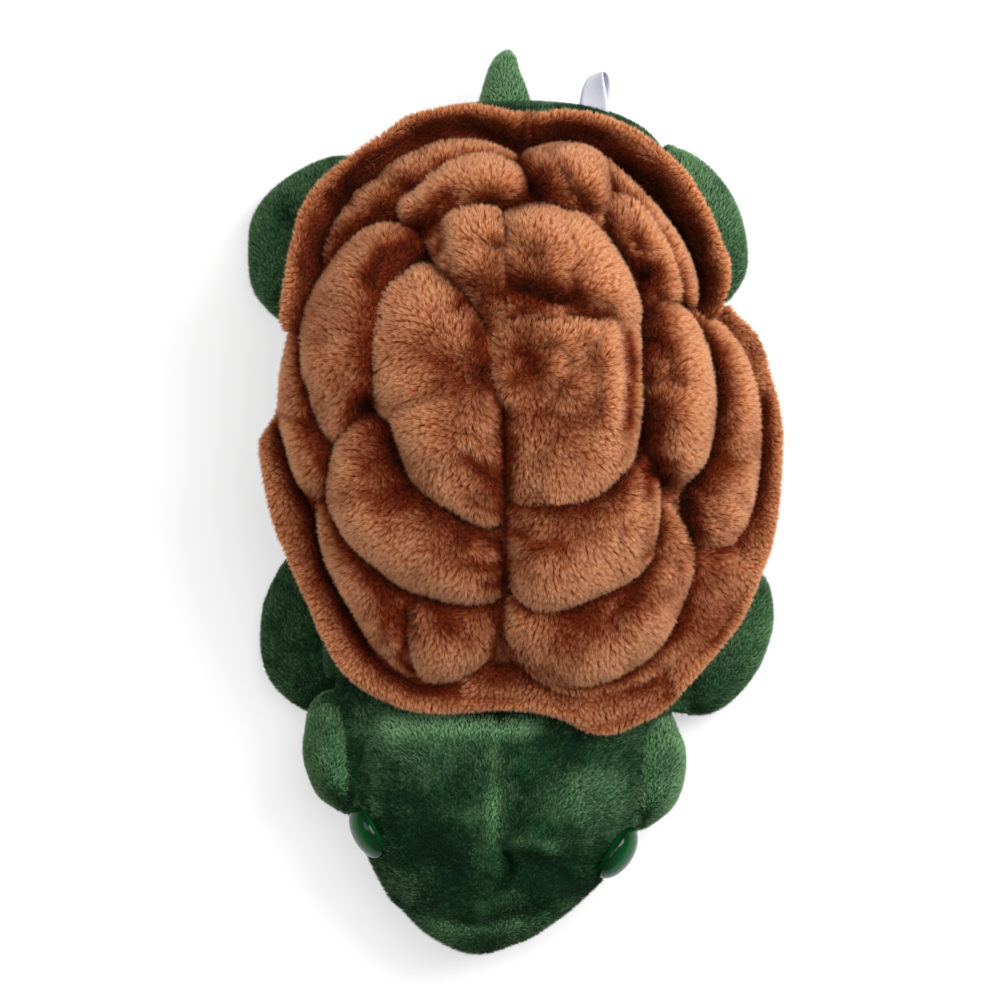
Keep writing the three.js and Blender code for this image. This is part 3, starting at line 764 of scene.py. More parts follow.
@dataclass(frozen=True)
class PileFibre:
    """The brushed fibre of a plush: dark where it leaves the backing and pale at its tips, the dark roots being
    painted shade.

    It gives the eye soft tufts, painted light on their ends over painted shade at their roots. Its colours lie on the
    strand's own map: how pale the strand is goes across, and root to tip goes up.

    Attributes:
        name: The material's name.
        deep: sRGB colours from root to tip of a strand in painted shade down in a seam, where its neighbours shade it.
        dark: The same at the darker end of its tone, which is partly random and partly painted shade.
        pale: The same at the paler end of its tone, which is partly random and partly painted light.
        sheen: How much soft light the fibre throws back at its edges.
    """

    name: str
    deep: tuple[str, str, str]
    dark: tuple[str, str, str]
    pale: tuple[str, str, str]
    sheen: float = 0.06

    def material(self) -> bpy.types.Material:
        """Builds the fibre's material."""
        made, add = empty_material(self.name)
        strand = add("ShaderNodeUVMap", {"uv_map": "pile_map"})
        parts = add("ShaderNodeSeparateXYZ", Vector=strand).outputs
        sides = []
        for colours in (self.deep, self.dark, self.pale):
            along = add("ShaderNodeValToRGB", Fac=parts["Y"])
            paint(along.color_ramp, tuple(zip((0.05, 0.5, 0.95), colours)))
            sides.append(along)
        colour = sides[0]
        for low, high, side in ((0.0, Pile.DARK, sides[1]), (Pile.DARK, 1.0, sides[2])):
            share = add("ShaderNodeMapRange", Value=parts["X"], From_Min=low, From_Max=high)
            colour = add("ShaderNodeMix", {"data_type": "RGBA"}, Factor=share, A=colour, B=side)
        shader = add(
            "ShaderNodeBsdfPrincipled",
            Base_Color=colour,
            Roughness=0.85,
            Specular_IOR_Level=0.1,
            Sheen_Weight=self.sheen,
            Sheen_Roughness=0.4,
            Sheen_Tint=linear(self.pale[2]),
        )
        add("ShaderNodeOutputMaterial", Surface=shader)
        return made


@dataclass(frozen=True)
class EyeGlass:
    """A polished acrylic eye with its pupil and iris painted behind.

    It gives the eye a deep green with a black middle, and small sharp lights.

    Attributes:
        name: The material's name.
        pupil, iris, edge: sRGB colours from the middle outwards.
    """

    name: str
    pupil: str
    iris: str
    edge: str

    def material(self) -> bpy.types.Material:
        """Builds the eye's material."""
        made, add = empty_material(self.name)
        ring = add("ShaderNodeValToRGB", Fac=add("ShaderNodeAttribute", {"attribute_name": "off_axis"}).outputs["Fac"])
        paint(ring.color_ramp, ((0.40, self.pupil), (0.44, self.iris), (0.86, self.iris), (1.0, self.edge)))
        shader = add("ShaderNodeBsdfPrincipled", Base_Color=ring, Roughness=0.1, IOR=1.4, Specular_IOR_Level=0.25)
        add("ShaderNodeOutputMaterial", Surface=shader)
        return made


# ---- Pile ----


@dataclass(frozen=True)
class Pile:
    """A plush's pile, grown from a skin by Geometry Nodes.

    Attributes:
        length, width: A strand's size, in mm.
        per_mm2: Strands on a square millimetre of skin.
        lean: How far the nap lies over; 0 stands up, 1 lies at 45 degrees.
        frizz: How unevenly the strands point.
        tuft: The distance between tufts, in mm.
        pull: How far the tips of a tuft draw together, from 0 to 1.
        fibre: The strands' material.
        skin_share: How much the strands are lit as the skin beneath them is.
    """

    length: float
    width: float
    per_mm2: float
    lean: float
    frizz: float
    tuft: float
    pull: float
    fibre: bpy.types.Material
    skin_share: float = 0.65

    DARK: ClassVar[float] = 0.375

    @staticmethod
    def strand() -> bpy.types.Object:
        """Gives the one strand that all pile repeats: a slim blade with its place along and across it."""
        found = bpy.data.objects.get("pile_strand")
        if found is not None:
            return found
        mesh = bpy.data.meshes.new("pile_strand")
        mesh.from_pydata([(-0.5, 0, 0), (0.5, 0, 0), (0.0, 0, 1)], [], [(0, 1, 2)])
        write_values(mesh, "along", (0, 0, 1))
        write_values(mesh, "across", (0, 1, 0.5))
        return bpy.data.objects.new("pile_strand", mesh)

    def tree(self) -> bpy.types.NodeTree:
        """Builds the node tree that plants the strands.

        Returns:
            The tree, with an input for each size.
        """
        tree = bpy.data.node_groups.new("plush_pile", "GeometryNodeTree")
        kinds = {"Skin": "Geometry", "Seed": "Int", "Strand": "Object", "Fibre": "Material"}
        for name in ("Skin", "Length", "Width", "Strands", "Lean", "Frizz", "Tuft", "Pull", "Seed", "Strand", "Fibre"):
            socket = f"NodeSocket{kinds.get(name, 'Float')}"
            tree.interface.new_socket(name, in_out="INPUT", socket_type=socket)
        tree.interface.new_socket("Pile", in_out="OUTPUT", socket_type="NodeSocketGeometry")
        maths, vectors, chance = "ShaderNodeMath", "ShaderNodeVectorMath", "FunctionNodeRandomValue"
        adding, scaling, product = ({"operation": name} for name in ("ADD", "SCALE", "MULTIPLY"))
        number, vector = {"data_type": "FLOAT"}, {"data_type": "FLOAT_VECTOR"}
        add = partial(add_node, tree)
        given = add("NodeGroupInput").outputs
        cover, length, toned, nap = (
            add("GeometryNodeInputNamedAttribute", kind, Name=name)
            for name, kind in (("pile_cover", number), ("pile_length", number), ("pile_tone", number), ("nap", vector))
        )
        planted = add(
            "GeometryNodeDistributePointsOnFaces",
            {"distribute_method": "RANDOM"},
            Mesh=given["Skin"],
            Density=add(maths, product, i0=given["Strands"], i1=cover),
            Seed=given["Seed"],
        )
        place = add("GeometryNodeInputPosition")
        normal = planted.outputs["Normal"]

        # Where a strand points: out, over with the nap, and a little astray
        leaning = add(vectors, adding, i0=normal, i1=add(vectors, scaling, i0=nap, i3=given["Lean"]))
        wander = add(chance, vector, Min=(-1, -1, -1), Max=(1, 1, 1), Seed=3)
        stray = add(vectors, scaling, i0=wander, i3=given["Frizz"])
        pointing = add(vectors, {"operation": "NORMALIZE"}, i0=add(vectors, adding, i0=leaning, i1=stray))
        uneven = add(maths, product, i0=given["Length"], i1=add(chance, number, Min=0.7, Max=1.15, Seed=5))
        reach = add(vectors, scaling, i0=pointing, i3=add(maths, product, i0=uneven, i1=length))

        # How the tips of a tuft draw together, along the skin
        cells = add(
            "ShaderNodeTexVoronoi",
            {"voronoi_dimensions": "3D", "feature": "F1"},
            Vector=place,
            Scale=add(maths, {"operation": "DIVIDE"}, i0=1.0, i1=given["Tuft"]),
        ).outputs
        toward = add(vectors, {"operation": "SUBTRACT"}, i0=cells["Position"], i1=place)
        off_skin = add(vectors, {"operation": "DOT_PRODUCT"}, i0=toward, i1=normal)
        outward = add(vectors, scaling, i0=normal, i3=off_skin)
        flat = add(vectors, {"operation": "SUBTRACT"}, i0=toward, i1=outward)
        strand = add(vectors, adding, i0=reach, i1=add(vectors, scaling, i0=flat, i3=given["Pull"]))

        upright = add("FunctionNodeAlignRotationToVector", {"axis": "Z"}, Vector=strand)
        flatwise = add(
            "FunctionNodeAlignRotationToVector",
            {"axis": "X", "pivot_axis": "Z"},
            Rotation=upright,
            Vector=add(vectors, {"operation": "CROSS_PRODUCT"}, i0=strand, i1=normal),
        )
        spin = add(
            "FunctionNodeAxisAngleToRotation", Axis=(0, 0, 1), Angle=add(chance, number, Min=-0.9, Max=0.9, Seed=7)
        )
        turned = add("FunctionNodeRotateRotation", {"rotation_space": "LOCAL"}, Rotation=flatwise, Rotate_By=spin)
        long = add(vectors, {"operation": "LENGTH"}, i0=strand)
        size = add("ShaderNodeCombineXYZ", X=given["Width"], Y=given["Width"], Z=long)

        # Its tone: its tuft's, its own and its place's, which carries the painted light and shade
        tuft = add(maths, product, i0=add("ShaderNodeSeparateXYZ", Vector=cells["Color"]), i1=0.26)
        tone = add(maths, adding, i0=tuft, i1=add(chance, number, Min=-0.24, Max=0.0, Seed=9))
        tone = add(maths, adding, i0=tone, i1=toned)
        marked = planted
        for name, kind, value in (("skin_normal", vector, normal), ("tone", number, tone)):
            marked = add(
                "GeometryNodeStoreNamedAttribute", {**kind, "domain": "POINT"}, Geometry=marked, Name=name, Value=value
            )
        blade = add("GeometryNodeObjectInfo", Object=given["Strand"]).outputs["Geometry"]
        grown = add("GeometryNodeInstanceOnPoints", Points=marked, Instance=blade, Rotation=turned, Scale=size)
        real = add("GeometryNodeRealizeInstances", Geometry=grown)
        add("NodeGroupOutput", i0=add("GeometryNodeSetMaterial", Geometry=real, Material=given["Fibre"]))
        return tree

    def grow(self, name: str, skin: bpy.types.Object, tree: bpy.types.NodeTree, seed: int) -> bpy.types.Object:
        """Grows the pile on a skin that carries pile_cover, pile_length, pile_tone and nap.

        Args:
            name: The new piece's name.
            skin: The outer skin, which is left as it was.
            tree: The planting tree.
            seed: Where the strands fall.

        Returns:
            The pile as a plain mesh.
        """
        modifier = skin.modifiers.new("pile", "NODES")
        modifier.node_group = tree
        given = {item.name: item.identifier for item in tree.interface.items_tree if item.in_out == "INPUT"}
        for key, value in (
            ("Length", self.length * METRE),
            ("Width", self.width * METRE),
            ("Strands", self.per_mm2 * 1e6),
            ("Lean", self.lean),
            ("Frizz", self.frizz),
            ("Tuft", self.tuft * METRE),
            ("Pull", self.pull),
            ("Seed", seed),
            ("Strand", self.strand()),
            ("Fibre", self.fibre),
        ):
            modifier[given[key]] = value
        mesh = bpy.data.meshes.new_from_object(skin.evaluated_get(bpy.context.evaluated_depsgraph_get()))
        skin.modifiers.remove(modifier)
        mesh.name = name
        self.press(mesh)
        pile = bpy.data.objects.new(name, mesh)
        bpy.context.scene.collection.objects.link(pile)
        self.finish(mesh)
        return pile

    def press(self, mesh: bpy.types.Mesh) -> None:
        """Flattens the strands that the toy stands on."""
        places = read_values(mesh.vertices, "co", 3)
        places[:, 2] = np.maximum(places[:, 2], 0.02 * METRE)
        mesh.vertices.foreach_set("co", places.ravel())

    def finish(self, mesh: bpy.types.Mesh) -> None:
        """Gives the strands their colour map and lights them much as the skin beneath.

        Args:
            mesh: The pile's mesh.
        """
        along, across, tone = (read_values(mesh.attributes[key].data, "value") for key in ("along", "across", "tone"))
        skin = read_values(mesh.attributes["skin_normal"].data, "vector", 3)
        corner = read_values(mesh.loops, "vertex_index", kind=np.int32)
        tone = np.clip(tone, -1, 1)
        # A tone below 0 runs into the deep ramp of painted shade.
        pale = self.DARK + (0.96 - self.DARK) * tone
        u = np.where(tone > 0, pale, self.DARK * (1 + 0.95 * tone)) + 0.02 * across
        v = 0.02 + 0.96 * along
        spread = np.stack([u[corner], v[corner]], 1).astype(np.float32).ravel()
        for name in ("OFBake", "pile_map"):
            mesh.uv_layers.new(name=name).data.foreach_set("uv", spread)
        own = np.repeat(read_values(mesh.polygons, "normal", 3), 3, axis=0)
        under = skin[corner]
        own *= np.sign(np.sum(own * under, 1) + 1e-9)[:, None]
        lit = under * self.skin_share + own * (1 - self.skin_share)
        lit /= np.maximum(np.linalg.norm(lit, axis=1), 1e-6)[:, None]
        mesh.polygons.foreach_set("use_smooth", np.ones(len(mesh.polygons), bool))
        for key in ("along", "across", "tone", "skin_normal"):
            mesh.attributes.remove(mesh.attributes[key])
        mesh.normals_split_custom_set(lit.tolist())


@dataclass
class Coat:
    """One skin that pile is to grow on.

    Attributes:
        name: The pile piece's name.
        corners, faces: The outer skin, in mm.
        pile: Its pile.
        flow: Gives the way that the nap is brushed, from places and normals.
        attach: Makes the finished pile ride with its skin.
        tone: How much paler than the rest its strands are; set piece by piece, partly painted light and shade.
        shades: Lines of painted shade, or of painted light where the depth is less than 0; a depth here is a drop in
            tone.
        shade_height: The height at which their lines are placed, in mm.
        nap_tone: Painted light and shade by slope: how much paler the pile is where the nap runs off the skin than
            where it runs into it.
        open_tone: Painted shade: how much darker it is in hollows and creases, where less open air is seen.
        patches: How much its tone wanders from one brushed patch to the next.
    """

    name: str
    corners: Array
    faces: Array
    pile: Pile
    flow: Callable[[Array, Array], Array]
    attach: Callable[[bpy.types.Object], None]
    tone: float = 0.0
    shades: Sequence[Fold] = ()
    shade_height: float = 92.0
    nap_tone: float = 0.0
    open_tone: float = 0.3
    patches: float = 0.32


@dataclass
class Groomer:
    """Finds what shows of every skin, and grows the pile there."""

    coats: list[Coat] = field(default_factory=list)

    RAYS: ClassVar[int] = 26
    STAND_OFF: ClassVar[float] = 1.5
    SIGHT: ClassVar[float] = 400.0
    SMOOTHING: ClassVar[int] = 14

    def take(
        self, thing: bpy.types.Object, name: str, pile: Pile, flow: Callable, attach: Callable, **more: object
    ) -> None:
        """Notes a skin, before its wall is given to it.

        Args:
            thing: The skin's object.
            name: The pile piece's name.
            pile: Its pile.
            flow: The way that its nap is brushed.
            attach: Makes the finished pile ride with its skin.
            **more: Coat's other values.
        """
        corners = read_values(thing.data.vertices, "co", 3) / METRE
        faces = [tuple(p.vertices) for p in thing.data.polygons]
        self.coats.append(Coat(name, corners, faces, pile, flow, attach, **more))

    def seen_shares(self, corners: Array, normals: Array, wall: BVHTree) -> Array:
        """Measures how much of the open air each point of a skin faces.

        Args:
            corners: The skin's points, in mm.
            normals: Their normals.
            wall: All skins together.

        Returns:
            A share for each point.
        """
        golden = math.pi * (3 - math.sqrt(5))
        rays = []
        for i in range(self.RAYS):
            z = 1 - 2 * (i + 0.5) / self.RAYS
            r = math.sqrt(1 - z * z)
            rays.append(Vector((r * math.cos(golden * i), r * math.sin(golden * i), z)))
        shares = np.zeros(len(corners))
        for i, (spot, normal) in enumerate(zip(corners, normals)):
            out = Vector(normal)
            start = Vector(spot) + out * self.STAND_OFF
            tried = [ray for ray in rays if ray.dot(out) > 0.2]
            shares[i] = sum(wall.ray_cast(start, ray, self.SIGHT)[0] is None for ray in tried) / max(len(tried), 1)
        return shares

    def standing_out(self, coat: Coat, normals: Array) -> Array:
        """Measures how far each point stands out of the skin around it.

        Args:
            coat: The skin.
            normals: Its normals.

        Returns:
            A height for each point, in mm; less than 0 in a hollow.
        """
        edges = np.array([(f[i], f[i - 1]) for f in coat.faces for i in range(len(f))])
        smooth = coat.corners.astype(float).copy()
        count = np.bincount(edges.ravel(), minlength=len(smooth))[:, None]
        for _ in range(self.SMOOTHING):
            total = np.zeros_like(smooth)
            np.add.at(total, edges[:, 0], smooth[edges[:, 1]])
            np.add.at(total, edges[:, 1], smooth[edges[:, 0]])
            smooth = 0.5 * smooth + 0.5 * total / np.maximum(count, 1)
        return np.sum((coat.corners - smooth) * normals, 1)

    def groom(self) -> None:
        """Grows the pile on every skin."""
        places, faces, base = [], [], 0
        for coat in self.coats:
            places.extend(tuple(c) for c in coat.corners)
            faces.extend([tuple(i + base for i in f) for f in coat.faces])
            base += len(coat.corners)
        wall = BVHTree.FromPolygons(places, faces)
        tree = None
        total = 0
        for number, coat in enumerate(self.coats):
            skin = mesh_object("skin_to_groom", coat.corners, coat.faces)
            normals = read_values(skin.data.vertex_normals, "vector", 3)
            share = self.seen_shares(coat.corners, normals, wall)
            cover = np.clip((share - 0.02) * 6, 0, 1)
            cover[normals[:, 2] < -0.6] *= 0.45
            nap = coat.flow(coat.corners, normals)
            nap_lie = nap / np.maximum(np.linalg.norm(nap, axis=1), 1e-6)[:, None]
            nap = nap - normals * np.sum(nap * normals, 1)[:, None]
            nap /= np.maximum(np.linalg.norm(nap, axis=1), 1e-6)[:, None]
            tone = coat.tone + coat.patches * (ripple(coat.corners, 17, 17.0) + 0.6 * ripple(coat.corners, 5.5, 19.0))
            # Painted shade in hollows and painted light on ridges that stand out.
            tone = tone + 0.11 * np.clip(self.standing_out(coat, normals), -3.0, 1.5)
            # Painted light and shade by how each slope faces the nap's run, and painted shade where less open air is
            # seen.
            tone = tone + coat.nap_tone * np.sum(nap_lie * normals, 1) + coat.open_tone * (share - 0.75)
            # Painted shade along creases and folds, and painted light along ridges and lips.
            for shade in coat.shades:
                tone = tone - shade.drop(coat.corners[:, :2], coat.shade_height)
            write_values(skin.data, "pile_cover", cover)
            write_values(skin.data, "pile_length", 0.75 + 0.25 * np.clip(share * 3, 0, 1))
            write_values(skin.data, "pile_tone", tone)
            write_values(skin.data, "nap", nap, "FLOAT_VECTOR")
            if tree is None:
                tree = coat.pile.tree()
            made = coat.pile.grow(coat.name, skin, tree, number + 1)
            bpy.data.objects.remove(skin)
            total += len(made.data.polygons)
            coat.attach(made)
        LOG.info("pile: %d pieces, %d strands", len(self.coats), total)


# ---- Shell ----


@dataclass(frozen=True)
class ShellDome:
    """The heaped form that the shell's lobes are sewn down to.

    Attributes:
        x, y: Its middle, in mm.
        half_width, half_length: Its reach, in mm.
        foot, height: Its edge's height and the rise of its middle, in mm.
    """

    x: float = 0.0
    y: float = 29.2
    half_width: float = 85.0
    half_length: float = 101.5
    foot: float = 56.0
    height: float = 27.0

    def share(self, plan: Array) -> Array:
        """Gives 0 in the middle and 1 at the edge."""
        return np.hypot((plan[:, 0] - self.x) / self.half_width, (plan[:, 1] - self.y) / self.half_length)

    def level(self, plan: Array) -> Array:
        """Gives the dome's height over plan points, in mm."""
        return self.foot + self.height * np.clip(1 - self.share(plan) ** 2, 0, 1) ** 0.8


@dataclass(frozen=True)
class Lobe:
    """One stuffed lobe of the shell.

    Attributes:
        name: The lobe's CAD node.
        outline: Its outline in the photograph.
        rise: How far it stands above the dome, in mm.
        height: The height at which its outline is placed, in mm.
        folds: Its tucks and ridges.
        lift: How much higher than the dome its seam line is, in mm.
        sink: How far it hangs below its seam line, in mm.
        tone: How pale its pile is, from 0 to 1; set lobe by lobe to how light or dark it looks, so partly painted
            light and shade.
    """

    name: str
    outline: tuple[Pixel, ...]
    rise: float
    height: float
    folds: tuple[Fold, ...] = ()
    lift: float = 0.0
    sink: float = 8.0
    tone: float = 0.55


LOBES: tuple[Lobe, ...] = (
    Lobe(
        "crown_left_upper",
        ((395, 276), (412, 268), (430, 268), (445, 277), (462, 287), (473, 306), (482, 330), (493, 352), (501, 375),
         (506, 412), (480, 420), (445, 421), (412, 424), (392, 418), (374, 398), (364, 372), (360, 345), (364, 318),
         (376, 295)),
        16.0, 82.0,
        (Fold(((400, 415), (440, 398), (490, 385)), 4, 1.5), Fold(((395, 330), (420, 350), (450, 352)), 7, 1.2)),
    ),
    Lobe(
        "crown_left_lower",
        ((386, 398), (420, 384), (460, 378), (498, 376), (503, 420), (505, 450), (505, 480), (504, 510), (490, 522),
         (468, 516), (450, 506), (430, 494), (415, 478), (407, 460), (401, 440), (394, 420)),
        13.5, 82.0,
        (Fold(((466, 450), (503, 480)), 2.6, 4.0),),
        tone=0.52,
    ),
    Lobe(
        "crown_ridge",
        ((428, 238), (436, 224), (447, 216), (463, 206), (480, 202), (495, 210), (504, 228), (507, 255), (508, 285),
         (504, 320), (496, 348), (484, 325), (474, 302), (460, 290), (446, 277), (436, 258)),
        17.5, 82.0,
        (Fold(((441, 222), (446, 240), (444, 256)), 1.6, 3.5),),
    ),
    Lobe(
        "crown_dome",
        ((497, 240), (504, 215), (530, 207), (552, 206), (575, 212), (592, 222), (607, 242), (620, 262), (630, 285),
         (637, 306), (634, 328), (608, 338), (580, 336), (550, 334), (520, 330), (497, 322), (494, 270)),
        18.5, 82.0,
        (Fold(((590, 319), (606, 312)), 2.6, 5.0), Fold(((512, 292), (530, 297), (567, 303)), 4.5, 3.5)),
    ),
    Lobe(
        "crown_middle",
        ((497, 286), (530, 288), (560, 290), (590, 298), (618, 302), (634, 318), (638, 355), (640, 385), (638, 410),
         (633, 440), (628, 462), (614, 482), (598, 500), (575, 512), (553, 518), (532, 512), (515, 500), (508, 475),
         (503, 440), (498, 400), (494, 350)),
        14.5, 82.0,
        (Fold(((590, 319), (606, 312)), 2.6, 5.0), Fold(((620, 330), (625, 375), (622, 424)), 2.2, 4.5),
         Fold(((606, 335), (610, 380), (608, 420)), 3.2, -2.0), Fold(((512, 292), (530, 297), (567, 303)), 4.5, 3.5),
         Fold(((515, 345), (535, 385), (575, 415)), 8, 1.8), Fold(((575, 340), (590, 372), (596, 410)), 4, 1.2)),
        tone=0.66,
    ),
    Lobe(
        "crown_roll",
        ((508, 500), (550, 500), (600, 490), (630, 465), (645, 455), (652, 475), (655, 505), (652, 540), (645, 562),
         (632, 576), (612, 587), (588, 597), (562, 606), (543, 610), (524, 600), (513, 583), (508, 560), (507, 530)),
        16.0, 80.0,
        (Fold(((640, 470), (640, 520), (640, 560)), 1.8, 2.5), Fold(((650, 490), (648, 550)), 1.6, 2.0),
         Fold(((520, 528), (540, 540), (565, 535)), 3.0, 1.5)),
        tone=0.44,
    ),
    Lobe(
        "mid_left",
        ((330, 270), (345, 250), (365, 233), (385, 226), (404, 229), (420, 241), (428, 258), (412, 268), (400, 300),
         (395, 340), (390, 380), (380, 405), (360, 420), (340, 442), (328, 432), (316, 410), (306, 385), (303, 355),
         (303, 330), (310, 305), (320, 285)),
        18.0, 74.0,
        (Fold(((375, 290), (385, 262), (402, 252)), 3.0, 3.0), Fold(((330, 300), (320, 340)), 6.0, 1.5)),
        lift=2.0,
        tone=0.14,
    ),
    Lobe(
        "mid_left_front",
        ((353, 412), (370, 411), (386, 430), (396, 455), (410, 478), (430, 497), (452, 510), (472, 524), (490, 538),
         (503, 556), (503, 580), (497, 594), (478, 601), (455, 600), (430, 593), (405, 585), (385, 571), (365, 556),
         (350, 540), (338, 520), (331, 500), (330, 475), (336, 452), (344, 430)),
        19.0, 75.0,
        (Fold(((503, 560), (485, 562), (470, 556)), 1.8, 3.0), Fold(((503, 578), (484, 580)), 1.6, 2.5),
         Fold(((360, 440), (372, 470), (398, 492)), 5.0, 1.5)),
        tone=0.36,
    ),
    Lobe(
        "mid_right",
        ((640, 312), (655, 303), (672, 305), (690, 320), (703, 345), (711, 380), (712, 412), (707, 445), (699, 466),
         (685, 478), (670, 484), (656, 476), (647, 455), (642, 425), (640, 390), (637, 350)),
        17.0, 76.0,
        (Fold(((655, 340),), 5.0, 4.0), Fold(((648, 430),), 4.0, 3.5)),
        lift=1.0,
        tone=0.4,
    ),
    Lobe(
        "mid_right_front",
        ((500, 600), (520, 590), (560, 600), (610, 585), (645, 560), (655, 520), (657, 498), (676, 520), (690, 540),
         (693, 562), (685, 592), (674, 620), (660, 645), (640, 662), (615, 676), (590, 683), (565, 683), (545, 675),
         (525, 660), (509, 640), (497, 618)),
        15.5, 73.0,
        (Fold(((560, 650), (610, 625), (648, 590)), 7.0, 2.0),),
        tone=0.46,
    ),
    Lobe(
        "mid_rear_left",
        ((400, 207), (416, 190), (436, 170), (460, 159), (485, 155), (506, 162), (524, 175), (531, 190), (522, 206),
         (500, 208), (480, 215), (450, 230), (432, 238), (412, 228)),
        18.5, 76.0,
        (Fold(((455, 200),), 3.5, 3.5), Fold(((437, 200), (440, 222)), 1.8, 3.0)),
        lift=2.0,
    ),
    Lobe(
        "mid_rear_right",
        ((522, 163), (535, 151), (560, 145), (582, 147), (600, 157), (607, 180), (606, 210), (600, 235), (575, 222),
         (550, 212), (525, 208), (531, 190)),
        18.5, 76.0,
        (Fold(((548, 160), (556, 185), (572, 205)), 5.0, 1.5),),
        lift=2.0,
    ),
    Lobe(
        "mid_right_rear",
        ((606, 175), (625, 190), (645, 210), (662, 235), (674, 262), (680, 300), (652, 303), (636, 305), (632, 285),
         (622, 262), (607, 238), (601, 215), (604, 190)),
        14.0, 74.0,
        (Fold(((642, 275),), 3.6, 4.5), Fold(((616, 200), (634, 236), (640, 262)), 3.0, 2.0)),
    ),
    Lobe(
        "outer_rear_right",
        ((600, 156), (618, 172), (640, 194), (658, 214), (676, 240), (688, 265), (693, 290), (691, 308), (680, 300),
         (668, 270), (655, 240), (635, 215), (610, 195)),
        9.0, 66.0,
    ),
    Lobe(
        "outer_rear_left",
        ((330, 272), (328, 246), (340, 216), (355, 195), (375, 180), (392, 165), (412, 154), (432, 146), (455, 141),
         (478, 143), (500, 151), (522, 166), (505, 175), (470, 175), (430, 195), (405, 215), (385, 226), (360, 236),
         (343, 252)),
        12.0, 67.0,
        (Fold(((352, 200), (362, 218)), 2.0, 3.0),),
        tone=0.36,
    ),
    Lobe(
        "outer_left",
        ((322, 280), (305, 300), (293, 330), (285, 365), (282, 395), (284, 425), (290, 445), (295, 465), (306, 486),
         (322, 497), (332, 480), (336, 450), (326, 425), (316, 400), (312, 350), (318, 310)),
        12.0, 67.0,
        (Fold(((286, 415), (305, 418), (322, 425)), 2.0, 3.5),),
        tone=0.16,
    ),
    Lobe(
        "outer_left_front",
        ((322, 500), (335, 500), (350, 530), (375, 560), (405, 582), (420, 592), (414, 640), (412, 672), (395, 662),
         (375, 642), (358, 614), (343, 588), (330, 562), (323, 532)),
        12.0, 67.0,
        (Fold(((385, 590), (385, 620), (380, 640)), 1.8, 2.5), Fold(((400, 605), (404, 640), (406, 662)), 1.8, 3.0)),
        tone=0.10,
    ),
    Lobe(
        "outer_front",
        ((411, 592), (450, 600), (496, 600), (497, 626), (490, 648), (478, 662), (462, 673), (444, 679), (425, 676),
         (414, 655), (411, 625)),
        12.0, 68.0,
        (Fold(((450, 615),), 5.0, 3.0),),
        tone=0.42,
    ),
    Lobe(
        "outer_right",
        ((690, 316), (716, 325), (736, 346), (750, 375), (757, 410), (758, 450), (753, 490), (746, 520), (733, 543),
         (705, 546), (688, 533), (680, 515), (684, 490), (700, 470), (712, 440), (715, 405), (712, 370), (703, 340)),
        13.0, 68.0,
        (Fold(((758, 440), (735, 452), (705, 462)), 6.0, 1.8),),
        tone=0.36,
    ),
    Lobe(
        "outer_right_front",
        ((692, 545), (710, 548), (740, 548), (742, 595), (722, 630), (700, 655), (690, 672), (668, 678), (620, 690),
         (570, 690), (540, 678), (515, 655), (500, 630), (540, 672), (600, 682), (645, 660), (676, 620), (687, 592)),
        5.0, 64.0,
        (Fold(((640, 655), (668, 668), (695, 675)), 1.8, 1.5),),
        lift=3.5,
        sink=1.5,
        tone=0.22,
    ),
)


# Painted shade: lines that darken the shell's pile in hollows and along creases.
SHELL_PAINTED_SHADE: tuple[Fold, ...] = (
    Fold(((520, 296), (567, 303)), 6.0, 0.45),
    Fold(((530, 360), (560, 372), (585, 400)), 5.0, 0.10),
    Fold(((620, 330), (625, 375), (622, 420)), 4.0, 0.30),
    Fold(((455, 292), (474, 335)), 5.0, 0.30),
    Fold(((440, 245), (470, 270), (492, 300)), 5.0, 0.25),
    Fold(((430, 455), (470, 482), (500, 500)), 4.0, 0.25),
    Fold(((722, 566), (722, 600), (698, 636)), 7.0, 0.35),
)


CREASES: tuple[Fold, ...] = (
    Fold(((521, 160), (530, 190), (514, 210)), 2.2, 4.0),
    Fold(((478, 338), (486, 362), (494, 392), (504, 412)), 2.2, 4.0),
    Fold(((504, 410), (505, 440), (506, 480), (507, 530), (507, 575), (502, 620), (497, 655)), 2.4, 6.0),
    Fold(((425, 230),), 4.2, 10.0),
    Fold(((532, 190),), 2.8, 7.0),
    Fold(((371, 405),), 4.0, 10.0),
    Fold(((650, 467),), 4.4, 9.0),
    Fold(((308, 500),), 4.0, 8.0),
    Fold(((497, 652),), 3.6, 5.0),
    Fold(((642, 276),), 3.6, 5.0),
    Fold(((655, 470), (672, 490), (684, 515), (690, 540)), 2.2, 3.0),
    Fold(((408, 600), (404, 625), (400, 650)), 1.5, 2.4),
    Fold(((478, 496), (492, 506), (505, 508)), 2.0, 3.0),
)


@dataclass(frozen=True)
class RimLength:
    """One sewn length of the shell's padded rim.

    Attributes:
        name: Its CAD node.
        edge: Its outer edge in the photograph, in order.
        inner_share: Where its hidden inner edge is, as a share of the way out from the dome's middle.
        foot, lip: The heights of its inner and outer edges, in mm.
        half_depth: Half its padding's thickness, in mm.
        folds: Its tucks and ridges.
        lit: How much painted light its lip has, and how much painted shade its inward face.
    """

    name: str
    edge: tuple[Pixel, ...]
    inner_share: float
    foot: float
    lip: float
    half_depth: float = 3.6
    folds: tuple[Fold, ...] = ()
    lit: float = 0.3


